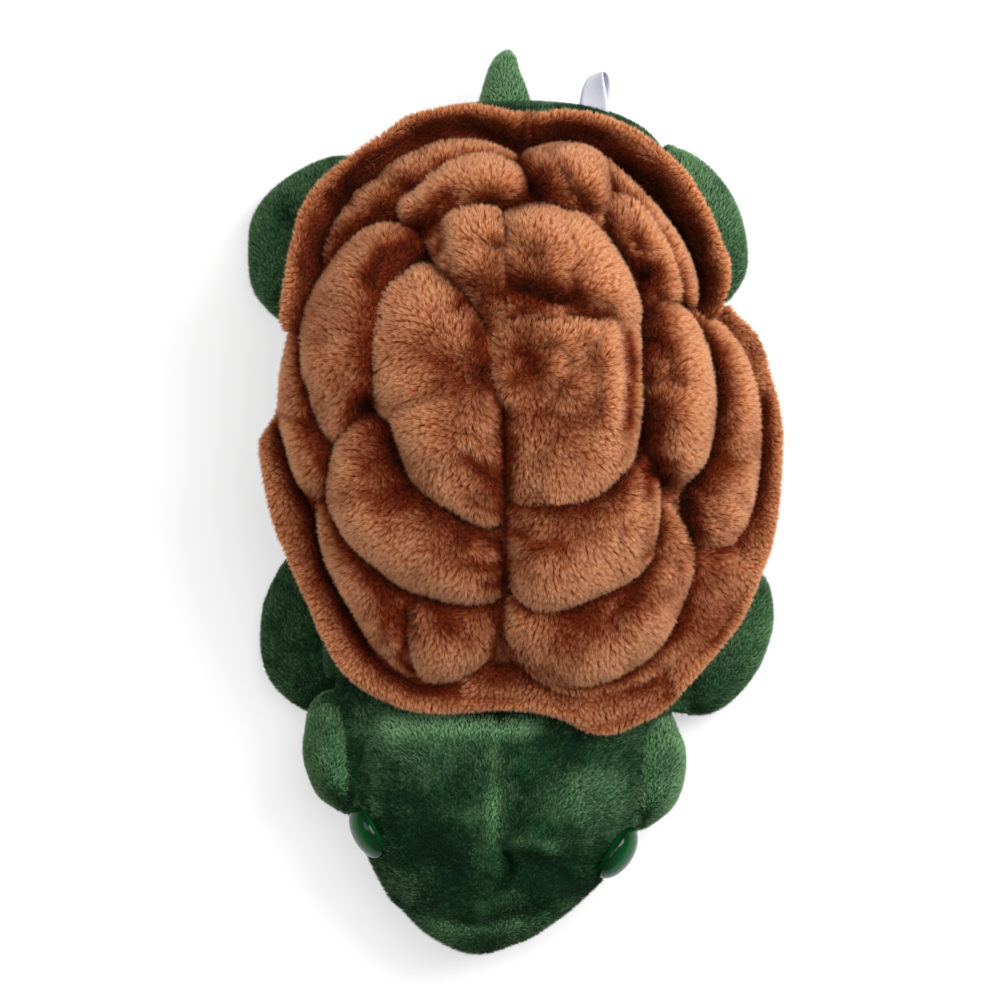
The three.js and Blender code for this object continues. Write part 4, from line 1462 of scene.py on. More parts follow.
RIMS: tuple[RimLength, ...] = (
    RimLength(
        "rim_rear_left",
        ((288, 330), (284, 318), (286, 290), (292, 255), (300, 220), (312, 195), (330, 175), (350, 160), (365, 148),
         (385, 135), (410, 118), (440, 111), (470, 107), (500, 112), (525, 120)),
        0.76, 54.0, 70.0,
        folds=(
            Fold(((350, 190), (362, 204)), 2.2, 4.0),
            Fold(((300, 262), (312, 222), (332, 192), (360, 167), (395, 143), (430, 127)), 1.3, 1.6),
            Fold(((524, 119), (522, 140)), 1.8, 4.0),
            Fold(
                ((318, 262), (326, 232), (342, 202), (363, 178), (385, 159), (420, 140), (460, 130), (498, 138),
                 (520, 152)),
                4.0,
                5.0,
            ),
        ),
        lit=0.34,
    ),
    RimLength(
        "rim_rear_right",
        ((525, 120), (545, 115), (570, 113), (600, 118), (630, 130), (650, 142), (665, 155), (685, 175), (697, 195),
         (708, 215), (718, 240), (726, 260), (727, 280), (722, 300), (714, 316)),
        0.76, 54.0, 70.0,
        folds=(
            Fold(
                ((540, 132), (565, 127), (592, 134), (620, 148), (645, 170), (665, 196), (682, 228), (694, 262)),
                1.2,
                1.6,
            ),
            Fold(((527, 120), (524, 140)), 1.8, 4.0),
            Fold(
                ((532, 148), (560, 140), (592, 142), (614, 157), (642, 184), (664, 213), (683, 244), (698, 280),
                 (704, 305)),
                4.0,
                5.0,
            ),
        ),
        lit=0.42,
    ),
    RimLength(
        "rim_front",
        ((288, 372), (283, 390), (278, 415), (262, 440), (263, 460), (268, 490), (275, 520), (285, 545), (300, 580),
         (312, 605), (322, 630), (335, 655), (350, 675), (370, 690), (390, 700), (415, 708), (450, 710), (500, 707),
         (530, 708), (560, 715), (580, 725), (600, 731), (620, 728), (640, 720), (660, 710), (680, 690), (700, 668),
         (715, 650), (735, 625), (748, 600), (760, 570), (768, 550), (776, 510), (779, 470), (780, 430), (775, 400),
         (768, 375), (760, 345), (745, 325), (722, 308)),
        0.72, 53.5, 59.5,
        half_depth=4.2,
        folds=(
            Fold(((285, 430), (295, 460), (303, 490), (318, 525), (325, 555), (335, 580), (350, 605), (365, 635),
                  (380, 660), (400, 674), (425, 684), (460, 684)), 2.4, 5.0),
            Fold(((759, 400), (757, 460), (752, 488), (746, 512)), 2.4, 4.0),
            Fold(((642, 682), (660, 664), (668, 690)), 2.6, 3.0),
            Fold(((716, 572), (732, 568), (748, 574)), 4.0, -2.6),
            Fold(((700, 590), (716, 606), (712, 632)), 5.0, 2.6),
            Fold(((440, 702), (480, 696), (520, 697)), 1.0, 1.2),
            Fold(((590, 722), (622, 716), (650, 703)), 2.0, 1.6),
        ),
        lit=0.16,
    ),
)


@dataclass
class Shell:
    """The quilted shell: its lobes, the padded rim, and the stuffing and cloth beneath them."""

    plush: bpy.types.Material
    lining: bpy.types.Material
    pile: Pile
    rim_pile: Pile
    groomer: Groomer
    dome: ShellDome = field(default_factory=ShellDome)

    TIER_LIFT: ClassVar[dict[str, float]] = {"crown": 2.5, "mid": -1.5, "outer": -2.5}
    MIDDLE: ClassVar[Pixel] = (514.0, 417.0)
    BAG_SHARE: ClassVar[float] = 0.8
    BAG_TOP: ClassVar[float] = 54.0
    BAG_RISE: ClassVar[float] = 24.0
    CLOTH_SHARE: ClassVar[float] = 0.84
    CLOTH_LEVEL: ClassVar[float] = 50.6

    attach = staticmethod(riding("body"))

    def flow(self, places: Array, normals: Array) -> Array:
        """Brushes the nap outwards from the shell's middle and down, with small swirls.

        Args:
            places: Points, in mm.
            normals: Their normals.

        Returns:
            The nap's direction at each point.
        """
        away = places[:, :2] - np.array([self.dome.x, self.dome.y + 12])
        away /= np.maximum(np.linalg.norm(away, axis=1), 1e-6)[:, None]
        swirl = 1.3 * ripple(places, 24, 23.0) + 0.9 * ripple(places, 8, 29.0)
        c, s = np.cos(swirl), np.sin(swirl)
        turned = np.stack([away[:, 0] * c - away[:, 1] * s, away[:, 0] * s + away[:, 1] * c], 1)
        return np.column_stack([turned, np.full(len(places), -0.5)])

    def oval(self, share: float, count: int) -> Array:
        """Gives an oval ring on the shell's plan.

        Args:
            share: Its size, as a share of the shell's.
            count: The points on it.

        Returns:
            The points, in mm.
        """
        angle = np.linspace(0, FULL_TURN, count, endpoint=False)
        across = self.dome.x + share * self.dome.half_width * np.cos(angle)
        return np.stack([across, self.dome.y + share * self.dome.half_length * np.sin(angle)], 1)

    def lobe(self, lobe: Lobe, number: int) -> bpy.types.Object:
        """Makes one stuffed lobe.

        Args:
            lobe: The lobe's outline and folds.
            number: Its place in the list, which picks its small bulges.

        Returns:
            The lobe.
        """
        reach = self.dome.share(VIEW.plan(lobe.outline, lobe.height))

        def shingle(plan: Array) -> Array:
            out = (self.dome.share(plan) - reach.min()) / (reach.max() - reach.min())
            return 0.72 + 0.36 * ease(out * 1.3)

        form = StuffedForm(
            f"{lobe.name}_plush",
            VIEW.plan(lobe.outline, lobe.height),
            lambda plan: self.dome.level(plan) + lobe.lift + self.TIER_LIFT[lobe.name.split("_")[0]],
            lobe.rise,
            lobe.sink,
            fullness=1.25,
            gather=1.5,
            bumps=2.4,
            crumple=2.8,
            folds=lobe.folds + CREASES,
            fold_height=lobe.height + lobe.rise,
            shape=shingle,
            seed=number + 1,
        )
        thing = form.build()
        self.groomer.take(
            thing,
            f"{lobe.name}_pile",
            self.pile,
            self.flow,
            self.attach,
            # Painted shade along the shell's lines and the lobe's folds and creases, painted light and shade by slope,
            # and painted shade in hollows.
            shades=(*SHELL_PAINTED_SHADE, *(fold.shade() for fold in (*lobe.folds, *CREASES))),
            tone=lobe.tone + 0.06,
            nap_tone=0.66,
            open_tone=0.85,
        )
        dress(thing, self.plush, "body", "shell_plush", lobe.name)
        return thing

    def rim(self, rim: RimLength) -> bpy.types.Object:
        """Makes one length of the padded rim.

        Args:
            rim: Its edge and heights.

        Returns:
            The rim length.
        """
        outer = smooth_path(VIEW.plan(rim.edge, rim.lip), 4.0, False)
        middle = np.array([self.dome.x, self.dome.y])
        inner = middle + (outer - middle) * rim.inner_share

        def level(plan: Array) -> Array:
            away = distance_to(plan, outer)
            back = distance_to(plan, inner)
            across = back / np.maximum(away + back, 1e-6)
            wave = 1.5 * ripple(plan, 30, 3.0)
            return rim.foot + (rim.lip - rim.foot) * ease(across) + wave * across

        def topstitch(plan: Array) -> Array:
            return 1 - 0.25 * np.exp(-(((distance_to(plan, outer) - 4.5) / 1.0) ** 2))

        form = StuffedForm(
            f"{rim.name}_plush",
            np.concatenate([outer, inner[::-1]]),
            level,
            rim.half_depth,
            rim.half_depth,
            fullness=2.6,
            shape=topstitch,
            spacing=2.3,
            folds=rim.folds,
            fold_height=rim.lip,
            bumps=0.9,
            crumple=0.7,
            seed=31,
        )
        thing = form.build()
        x, y = self.MIDDLE
        inward = tuple((x + (u - x) * 0.87, y + (v - y) * 0.87) for u, v in rim.edge)
        self.groomer.take(
            thing,
            f"{rim.name}_pile",
            self.rim_pile,
            self.flow,
            self.attach,
            # Painted light along the outer lip, and painted shade on the inward face and along the folds.
            shades=(Fold(rim.edge, 3.0, -rim.lit), Fold(inward, 4.5, rim.lit), *(fold.shade() for fold in rim.folds)),
            shade_height=rim.lip,
            tone=0.56,
            nap_tone=0.45,
            open_tone=0.6,
        )
        dress(thing, self.plush, "body", "shell_plush", rim.name)
        return thing

    def core(self) -> bpy.types.Object:
        """Makes the stuffed bag that carries the lobes."""
        form = StuffedForm(
            "shell_stuffing_bag",
            self.oval(self.BAG_SHARE, 40),
            lambda plan: np.full(len(plan), self.BAG_TOP),
            self.BAG_RISE,
            2.2,
            fullness=1.6,
            spacing=4.0,
            bumps=0.8,
            seed=44,
        )
        thing = form.build()
        self.groomer.take(thing, "shell_stuffing_bag_pile", self.pile, self.flow, self.attach, tone=0.15)
        dress(thing, self.plush, "body", "shell_plush", "shell_filling")
        return thing

    def underside(self) -> bpy.types.Object:
        """Makes the lining cloth between the shell and the glove."""
        form = StuffedForm(
            "shell_underside_cloth",
            self.oval(self.CLOTH_SHARE, 48),
            lambda plan: self.CLOTH_LEVEL + 0.25 * ripple(plan, 18, 2.0),
            0.35,
            0.35,
            fullness=6.0,
            spacing=5.0,
            bumps=0.1,
        )
        thing = form.build()
        dress(thing, self.lining, "body", "lining_cloth", "shell_underside")
        return thing

    def build(self) -> None:
        """Makes the whole shell."""
        for number, lobe in enumerate(LOBES):
            self.lobe(lobe, number)
        for rim in RIMS:
            self.rim(rim)
        self.core()
        self.underside()
        LOG.info("shell: %d lobes, %d rim lengths, stuffing bag and underside", len(LOBES), len(RIMS))


# ---- Glove body ----


def brushed_back(places: Array, normals: Array) -> Array:
    """Brushes the nap towards the tail and down, with small swirls.

    Args:
        places: Points, in mm.
        normals: Their normals.

    Returns:
        The nap's direction at each point.
    """
    sway = 0.5 * ripple(places, 22, 37.0)
    return np.column_stack([sway + 0.2 * normals[:, 0], np.ones(len(places)), np.full(len(places), -0.4)])


@dataclass
class GloveBody:
    """The green glove: padded outer skin, hand pocket lining, hem round the hand's way in, and the neck cloth.

    Attributes:
        plush, lining: Its cloths.
        way_in: The opening for the hand: half its width, and its front and rear ends in Y.
    """

    plush: bpy.types.Material
    lining: bpy.types.Material
    pile: Pile
    groomer: Groomer
    way_in: tuple[float, float, float] = (39.0, 69.0, 109.0)

    SKIN_WALL: ClassVar[float] = 3.2
    LINING_WALL: ClassVar[float] = 0.9
    NECK_WALL: ClassVar[float] = 2.0
    HEM: ClassVar[tuple[float, float, float]] = (3.3, 3.9, 4.1)

    def open_below(self, corners: Array, faces: list, low: float, grow: float) -> list:
        """Leaves the hand's way in open.

        Args:
            corners: The tube's corners.
            faces: Its faces.
            low: Faces above this height stay.
            grow: How much wider the hole is than the way in, in mm.

        Returns:
            The faces that stay.
        """
        half, front, rear = self.way_in
        kept = []
        for face in faces:
            x, y, z = corners[face].mean(0)
            if not (z < low and abs(x) < half + grow and front - grow < y < rear + grow):
                kept.append(face)
        return kept

    def skin(self) -> bpy.types.Object:
        """Makes the padded outer skin of back, sides, belly and rump."""
        sections = [
            Section(-58, 60, 4.0, 47, -2, 2.7),
            Section(-48, 62, 1.5, 49, -1, 2.8),
            Section(-30, 60, 0.2, 49, 0, 3.0),
            Section(20, 60, 0.0, 49, 0, 3.1),
            Section(70, 58, 0.0, 49, 0, 3.1),
            Section(105, 54, 0.3, 48.5, 0.5, 2.9),
            Section(117, 48.5, 1.6, 47.5, 1.5, 2.7),
            Section(125.5, 40, 5.0, 45, 2.0, 2.5),
            Section(131.5, 26, 11.0, 39.5, 2.0, 2.3),
            Section(133.8, 9, 20.0, 31, 1.0, 2.0),
        ]
        corners, faces = tube(sections, 120, 3.0, close_end=True)
        wave = ripple(corners, 26, 8.0)
        corners = corners + np.column_stack([np.sign(corners[:, 0]) * wave, np.zeros(len(wave)), 0.4 * wave])
        corners[:, 2] = np.clip(corners[:, 2], 0.0, 49.0)
        faces = self.open_below(corners, faces, 8.0, 1.5)
        thing = mesh_object("glove_body", corners, faces)
        coarse = replace(self.pile, per_mm2=self.pile.per_mm2 * 0.5, width=self.pile.width * 1.35)
        self.groomer.take(thing, "glove_body_pile", coarse, brushed_back, riding("body"))
        thicken(thing, self.SKIN_WALL)
        panels = ("belly_panel", "side_panel_left", "side_panel_right", "back_panel", "rump_panel")
        dress(thing, self.plush, "body", "body_plush", *panels)
        return thing

    def pocket(self) -> bpy.types.Object:
        """Makes the lining of the hand pocket."""
        sections = [
            Section(-24, 44, 8.5, 37.5, 0, 2.6),
            Section(0, 47.5, 6.6, 39.4, 0, 2.8),
            Section(60, 47.5, 6.5, 39.4, 0, 2.8),
            Section(95, 45, 6.5, 38.5, 0, 2.7),
            Section(107, 36, 8.0, 36.0, 0, 2.4),
            Section(111, 12, 16.0, 28.0, 0, 2.0),
        ]
        corners, faces = tube(sections, 96, 3.2, close_end=True)
        faces = self.open_below(corners, faces, 9.0, -1.0)
        thing = mesh_object("pocket_lining_cloth", corners, [f[::-1] for f in faces])
        thicken(thing, self.LINING_WALL)
        dress(thing, self.lining, "body", "lining_cloth", "pocket_lining")
        return thing

    def hem(self) -> bpy.types.Object:
        """Makes the rolled hem round the hand's way in."""
        half, front, rear = self.way_in
        middle = (front + rear) / 2
        angle = np.linspace(0, FULL_TURN, 96, endpoint=False)
        c, s = np.cos(angle), np.sin(angle)
        loop = np.stack(
            [half * np.sign(c) * np.abs(c) ** 0.55, middle + (rear - front) / 2 * np.sign(s) * np.abs(s) ** 0.55], 1
        )
        along = np.roll(loop, -1, 0) - np.roll(loop, 1, 0)
        along /= np.linalg.norm(along, axis=1)[:, None]
        outward = np.stack([along[:, 1], -along[:, 0]], 1)
        across, up, level = self.HEM
        ring = np.linspace(0, FULL_TURN, 14, endpoint=False)
        corners = []
        for i in range(len(loop)):
            for t in ring:
                spot = loop[i] + outward[i] * (across * math.cos(t))
                corners.append((spot[0], spot[1], up * math.sin(t) + level))
        faces = [f[::-1] for f in quads(len(loop), len(ring), along=True)]
        thing = mesh_object("pocket_hem_roll", np.array(corners), faces)
        face_outwards(thing)
        dress(thing, self.lining, "body", "lining_cloth", "pocket_hem")
        return thing

    def neck(self) -> None:
        """Makes the gathered neck cloth in two pieces between the body and the head, which ride on no body."""
        middle = Section(-57, 55, 2, 48, -3, 2.6)
        rear = [Section(-38, 53, 4, 46, 0, 2.6), Section(-47, 54, 2.5, 47, -1, 2.6), middle]
        front = [middle, Section(-66, 55, 1.8, 48.5, -5, 2.6), Section(-75, 54, 2, 48, -6, 2.6)]
        for name, sections, ends, (start, end) in (
            ("neck_cloth_rear", rear, ("body", "neck"), (-42, -57)),
            ("neck_cloth_front", front, ("neck", "head"), (-57, -72)),
        ):
            corners, faces = tube(sections, 96, 2.0)
            thing = mesh_object(name, corners, faces)
            self.groomer.take(thing, f"{name}_pile", self.pile, brushed_back, bending())
            thicken(thing, self.NECK_WALL)
            dress(thing, self.plush, None, "body_plush", "neck_sleeve")
            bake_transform(thing)

    def build(self) -> None:
        """Makes the whole glove body."""
        self.skin()
        self.pocket()
        self.hem()
        self.neck()
        LOG.info("glove body: skin, pocket, hem and neck cloth")


# ---- Head ----


# Painted light and shade on the head's pile: a depth less than 0 is a painted highlight along a ridge or band, a depth
# more than 0 painted shade in a crease.
HEAD_PAINTED_LIGHT_AND_SHADE: tuple[Fold, ...] = (
    Fold(((395, 728), (450, 724), (520, 726)), 4.4, -1.15),
    Fold(((520, 726), (560, 730), (600, 740)), 3.5, -0.15),
    Fold(((640, 726), (668, 750)), 7.0, -0.25),
    Fold(((496, 735), (494, 800), (493, 845)), 2.2, -0.34),
    Fold(((490, 800), (496, 850)), 1.6, -0.25),
    Fold(((515, 846), (532, 844), (548, 850)), 2.0, -0.42),
    Fold(((525, 868), (550, 880), (570, 885)), 7.0, 0.15),
    Fold(((508, 858), (511, 872), (503, 888)), 1.8, 0.30),
    Fold(((430, 925), (470, 936), (520, 930), (570, 908)), 5.5, -0.24),
    Fold(((352, 716), (351, 760), (352, 800)), 1.8, 0.3),
    Fold(((560, 770), (600, 790), (630, 800)), 9.0, -0.14),
    Fold(((430, 940), (478, 950), (530, 935)), 5.0, -0.16),
)


@dataclass
class Head:
    """The head above the mouth, with cheeks, eyes, collar and throat, and the lower jaw."""

    plush: bpy.types.Material
    mouth: bpy.types.Material
    eye: bpy.types.Material
    washer: bpy.types.Material
    pile: Pile
    groomer: Groomer
    mouth_level: float = 27.5
    jaw_level: float = 23.6
    crown_rise: float = 26.0
    jaw_depth: float = 22.6
    cheek_level: float = 22.0
    cheek_depth: float = 18.5
    pad: float = 3.0
    collar_wall: float = 2.6
    throat_wall: float = 1.6

    CROWN = (
        (655, 690), (665, 716), (664, 750), (655, 790), (645, 815), (634, 835), (618, 862), (600, 882), (590, 892),
        (570, 910), (550, 925), (530, 938), (510, 946), (490, 953), (475, 954), (460, 951), (440, 942), (420, 928),
        (405, 912), (392, 900), (380, 880), (368, 855), (357, 830), (346, 806), (338, 780), (330, 750), (326, 716),
        (330, 692), (410, 695), (500, 697), (590, 700),
    )
    EYE_RADIUS: ClassVar[float] = 10.4
    EYE_HEIGHT: ClassVar[float] = 6.6
    EYE_BACK: ClassVar[float] = 8.6
    EYE_SUNK: ClassVar[float] = 1.6
    EYE_LIFT: ClassVar[float] = 3.0

    def flow(self, places: Array, normals: Array) -> Array:
        """Brushes the head's nap back from the nose and down its sides.

        Args:
            places: Points, in mm.
            normals: Their normals.

        Returns:
            The nap's direction at each point.
        """
        middle = -8.0 - (places[:, 1] + 90) * 0.09
        side = (places[:, 0] - middle) / 40
        sway = 0.35 * ripple(places, 18, 41.0)
        return np.column_stack([side + sway, np.full(len(places), 0.9), -0.5 * np.abs(side)])

    def crown(self) -> bpy.types.Object:
        """Makes the padded top of the head, open behind and below."""
        outline = VIEW.plan(self.CROWN, 34.0)

        def behind(plan: Array) -> Array:
            return plan[:, 1] > -66.5

        def profile(plan: Array) -> Array:
            y = plan[:, 1]
            return np.interp(y, [-152, -140, -125, -105, -85, -74, -62], [0.92, 0.95, 1.0, 1.04, 1.0, 0.9, 0.76])

        folds = (
            Fold(((500, 712), (500, 760), (500, 800), (496, 850)), 1.3, 1.2),
            Fold(((507, 856), (511, 870), (508, 880), (500, 892)), 1.4, 5.0),
            Fold(((366, 712), (360, 760), (362, 800)), 2.4, 2.0),
            Fold(((646, 735), (646, 780), (634, 815)), 2.4, 2.0),
            Fold(((514, 845), (532, 843), (550, 850)), 3.0, -2.0),
            Fold(((520, 868), (560, 880)), 6.0, 2.0),
            Fold(((398, 903), (430, 918), (470, 926), (510, 921), (550, 911), (575, 898), (592, 884)), 1.7, 2.6),
            Fold(((420, 745), (450, 800), (470, 850)), 12.0, -1.0),
        )
        form = StuffedForm(
            "head_crown_plush",
            outline,
            lambda plan: np.full(len(plan), self.mouth_level),
            self.crown_rise,
            0.0,
            fullness=1.35,
            folds=folds,
            fold_height=50.0,
            side=Side.UPPER,
            free=behind,
            shape=profile,
            spacing=2.3,
            bumps=0.6,
            seed=61,
        )
        thing = form.build()
        self.groomer.take(
            thing,
            "head_crown_pile",
            self.pile,
            self.flow,
            riding("head"),
            tone=-0.04,
            # Painted light along the head's ridges and bands, painted shade in its creases and hollows.
            shades=HEAD_PAINTED_LIGHT_AND_SHADE,
            shade_height=50.0,
            open_tone=0.2,
            patches=0.36,
        )
        thicken(thing, self.pad)
        dress(thing, self.plush, "head", "body_plush", "head_crown")
        return thing

    def jaw(self) -> bpy.types.Object:
        """Makes the padded lower jaw, open behind and above."""
        outline = VIEW.plan(
            (
                (622, 757), (640, 780), (636, 820), (618, 858), (598, 880), (570, 905), (550, 920), (530, 933),
                (510, 942), (490, 948), (475, 949), (460, 946), (440, 937), (420, 923), (405, 907), (392, 895),
                (380, 872), (368, 845), (358, 815), (362, 780), (375, 757), (500, 755),
            ),
            20.0,
        )

        def behind(plan: Array) -> Array:
            return plan[:, 1] > -86.0

        def rising(plan: Array) -> Array:
            return np.interp(plan[:, 1], [-150, -104, -84], [1.0, 1.0, 0.8])

        form = StuffedForm(
            "lower_jaw_plush",
            outline,
            lambda plan: np.full(len(plan), self.jaw_level - 0.6),
            0.0,
            self.jaw_depth,
            fullness=1.5,
            side=Side.LOWER,
            free=behind,
            shape=rising,
            spacing=2.4,
        )
        thing = form.build()
        self.groomer.take(thing, "lower_jaw_pile", self.pile, brushed_back, riding("jaw"))
        thicken(thing, self.pad)
        dress(thing, self.plush, "jaw", "body_plush", "lower_jaw")
        return thing

    def palate(self, name: str, z: float, rear: float, body: str, node: str) -> bpy.types.Object:
        """Makes one of the two cloths inside the mouth.

        Args:
            name: The piece's name.
            z: Its height, in mm.
            rear: The row of its rear edge in the photograph.
            body: The body that it rides on.
            node: The CAD node that it stands for.

        Returns:
            The cloth.
        """
        outline = VIEW.plan(
            (
                (630, rear), (646, 780), (640, 822), (622, 856), (602, 878), (570, 904), (530, 932), (490, 947),
                (475, 948), (440, 936), (405, 906), (380, 874), (360, 835), (352, 806), (350, 780), (358, rear),
                (500, rear - 2),
            ),
            z,
        )
        form = StuffedForm(
            name, outline, lambda plan: z + 0.3 * ripple(plan, 16, 9.0), 0.6, 0.6, fullness=5.0, spacing=3.2, bumps=0.1
        )
        thing = form.build()
        dress(thing, self.mouth, body, "mouth_cloth", node)
        return thing

    def cheek(self, side: str) -> bpy.types.Object:
        """Makes one stuffed cheek."""
        outlines = {
            "left": ((352, 700), (330, 692), (312, 706), (306, 735), (305, 755), (310, 775), (320, 795), (335, 806),
                     (350, 812), (362, 790), (366, 750)),
            "right": ((640, 700), (665, 708), (677, 732), (683, 748), (684, 765), (681, 785), (672, 805), (655, 820),
                      (636, 828), (626, 800), (626, 750)),
        }
        form = StuffedForm(
            f"cheek_{side}_plush",
            VIEW.plan(outlines[side], 24.0),
            lambda plan: np.full(len(plan), self.cheek_level),
            self.cheek_depth,
            self.cheek_depth,
            fullness=1.7,
            spacing=2.2,
            bumps=0.8,
            seed=70 if side == "left" else 73,
        )
        thing = form.build()
        self.groomer.take(
            thing,
            f"cheek_{side}_pile",
            self.pile,
            brushed_back,
            riding("head"),
            # The right cheek's paler pile is painted light, on the side that the main lamp falls on.
            tone=0.26 if side == "left" else 0.46,
            patches=0.4,
        )
        dress(thing, self.plush, "head", "body_plush", f"cheek_{side}")
        return thing

    def collar(self) -> bpy.types.Object:
        """Makes the seamed band that joins the head to the neck cloth."""
        rear, middle = Section(-62, 54, 1.2, 48.8, -3, 2.6), Section(-69, 56.5, 0.6, 50.0, -4.5, 2.6)
        corners, faces = tube([rear, middle, Section(-77, 55, 1.0, 49.5, -6, 2.6)], 96, 2.0)
        thing = mesh_object("head_collar_plush", corners, faces)
        self.groomer.take(thing, "head_collar_pile", self.pile, brushed_back, riding("head"))
        thicken(thing, self.collar_wall)
        dress(thing, self.plush, "head", "body_plush", "head_collar")
        return thing

    def throat(self) -> bpy.types.Object:
        """Makes the cloth between the collar and the lower jaw."""
        rows, columns = 10, 28
        corners = []
        for i in range(rows):
            t = i / (rows - 1)
            y = -69.5 - 15.5 * t
            for j in range(columns):
                s = j / (columns - 1) * 2 - 1
                x = -3 - 2 * t + 36 * s
                corners.append((x, y, 1.4 + 2.2 * s * s + 1.2 * math.sin(math.pi * t)))
        faces = [(b, c, d, a) for a, b, c, d in quads(rows, columns, around=False)]
        thing = mesh_object("throat_cloth", np.array(corners), faces)
        thicken(thing, self.throat_wall, 1.0)
        dress(thing, self.plush, None, "body_plush", "throat_panel")
        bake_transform(thing)
        return thing

    def eyes(self) -> None:
        """Makes the two domed eyes and dresses their washers."""
        steps, rings = 64, 14
        for side, place, turn in (("left", (-47.4, -108.7, 34.2), 208.0), ("right", (33.4, -115.2, 34.2), -32.5)):
            lift, way = math.radians(self.EYE_LIFT), math.radians(turn)
            facing = Vector((math.cos(way) * math.cos(lift), math.sin(way) * math.cos(lift), math.sin(lift)))
            turned = Vector((0, 0, 1)).rotation_difference(facing).to_matrix()
            rows = []
            for i in range(rings):
                t = i / (rings - 1) * math.pi / 2
                rows.append((self.EYE_RADIUS * math.cos(t), self.EYE_HEIGHT * math.sin(t)))
            corners = []
            for radius, high in (*rows, (self.EYE_BACK, -self.EYE_SUNK)):
                for j in range(steps):
                    a = FULL_TURN * j / steps
                    corners.append(turned @ Vector((radius * math.cos(a), radius * math.sin(a), high)))
            corners.append(turned @ Vector((0, 0, -self.EYE_SUNK)))
            back, last = rings * steps, len(corners) - 1
            faces = quads(rings, steps)
            for j in range(steps):
                k = (j + 1) % steps
                faces += [(back + j, back + k, k, j), (back + k, back + j, last)]
            thing = mesh_object(f"eye_{side}_dome", np.array([tuple(c) for c in corners]) + np.array(place), faces)
            face_outwards(thing, merge=1e-6)
            axis = np.array(facing)
            spots = np.array([tuple(v.co) for v in thing.data.vertices]) / METRE - np.array(place)
            off_axis = np.linalg.norm(spots - np.outer(spots @ axis, axis), axis=1) / self.EYE_RADIUS
            write_values(thing.data, "off_axis", off_axis)
            dress(thing, self.eye, "head", "eye_plastic", f"eye_{side}")
            washer = frame["nodes"][f"eye_washer_{side}"]
            washer.data.materials.clear()
            washer.data.materials.append(self.washer)

    def build(self) -> None:
        """Makes the whole head."""
        self.crown()
        self.jaw()
        self.palate("mouth_roof_cloth", 26.9, 750, "head", "mouth_roof")
        self.palate("mouth_floor_cloth", 24.4, 759, "jaw", "mouth_floor")
        self.cheek("left")
        self.cheek("right")
        self.collar()
        self.throat()
        self.eyes()
        LOG.info("head: crown, jaw, mouth, cheeks, collar, throat and eyes")


# ---- Flippers, tail and label ----


@dataclass(frozen=True)
class Flipper:
    """One stuffed flipper, by its outline in the photograph; its root is in the body's side, in mm from the middle."""

    name: str
    outline: tuple[Pixel, ...]
    # How pale its pile is; the right flippers are paler as painted light from the main lamp's side.
    tone: float
    root: float = 57.6


FLIPPERS: tuple[Flipper, ...] = (
    Flipper(
        "front_left_flipper",
        ((334, 543), (310, 545), (288, 560), (275, 580), (265, 605), (262, 635), (264, 660), (272, 680), (285, 695),
         (300, 706), (314, 711), (330, 704), (344, 680), (346, 620), (345, 570), (342, 550)),
        0.12,
        57.8,
    ),
    Flipper(
        "front_right_flipper",
        ((700, 560), (730, 556), (761, 575), (770, 595), (772, 620), (768, 640), (760, 662), (745, 685), (728, 702),
         (710, 712), (690, 713), (670, 709), (662, 692), (670, 660), (678, 620), (682, 590), (688, 565)),
        0.32,
        58.2,
    ),
    Flipper(
        "hind_left_flipper",
        ((350, 158), (320, 162), (280, 185), (255, 215), (250, 250), (253, 285), (265, 305), (284, 320), (310, 322),
         (335, 306), (352, 285), (354, 240), (355, 190), (354, 170)),
        0.22,
        54.4,
    ),
    Flipper(
        "hind_right_flipper",
        ((665, 148), (690, 155), (715, 175), (735, 205), (745, 240), (745, 270), (735, 290), (722, 303), (700, 300),
         (682, 285), (672, 262), (668, 220), (664, 180), (662, 158)),
        0.36,
        53.0,
    ),
)


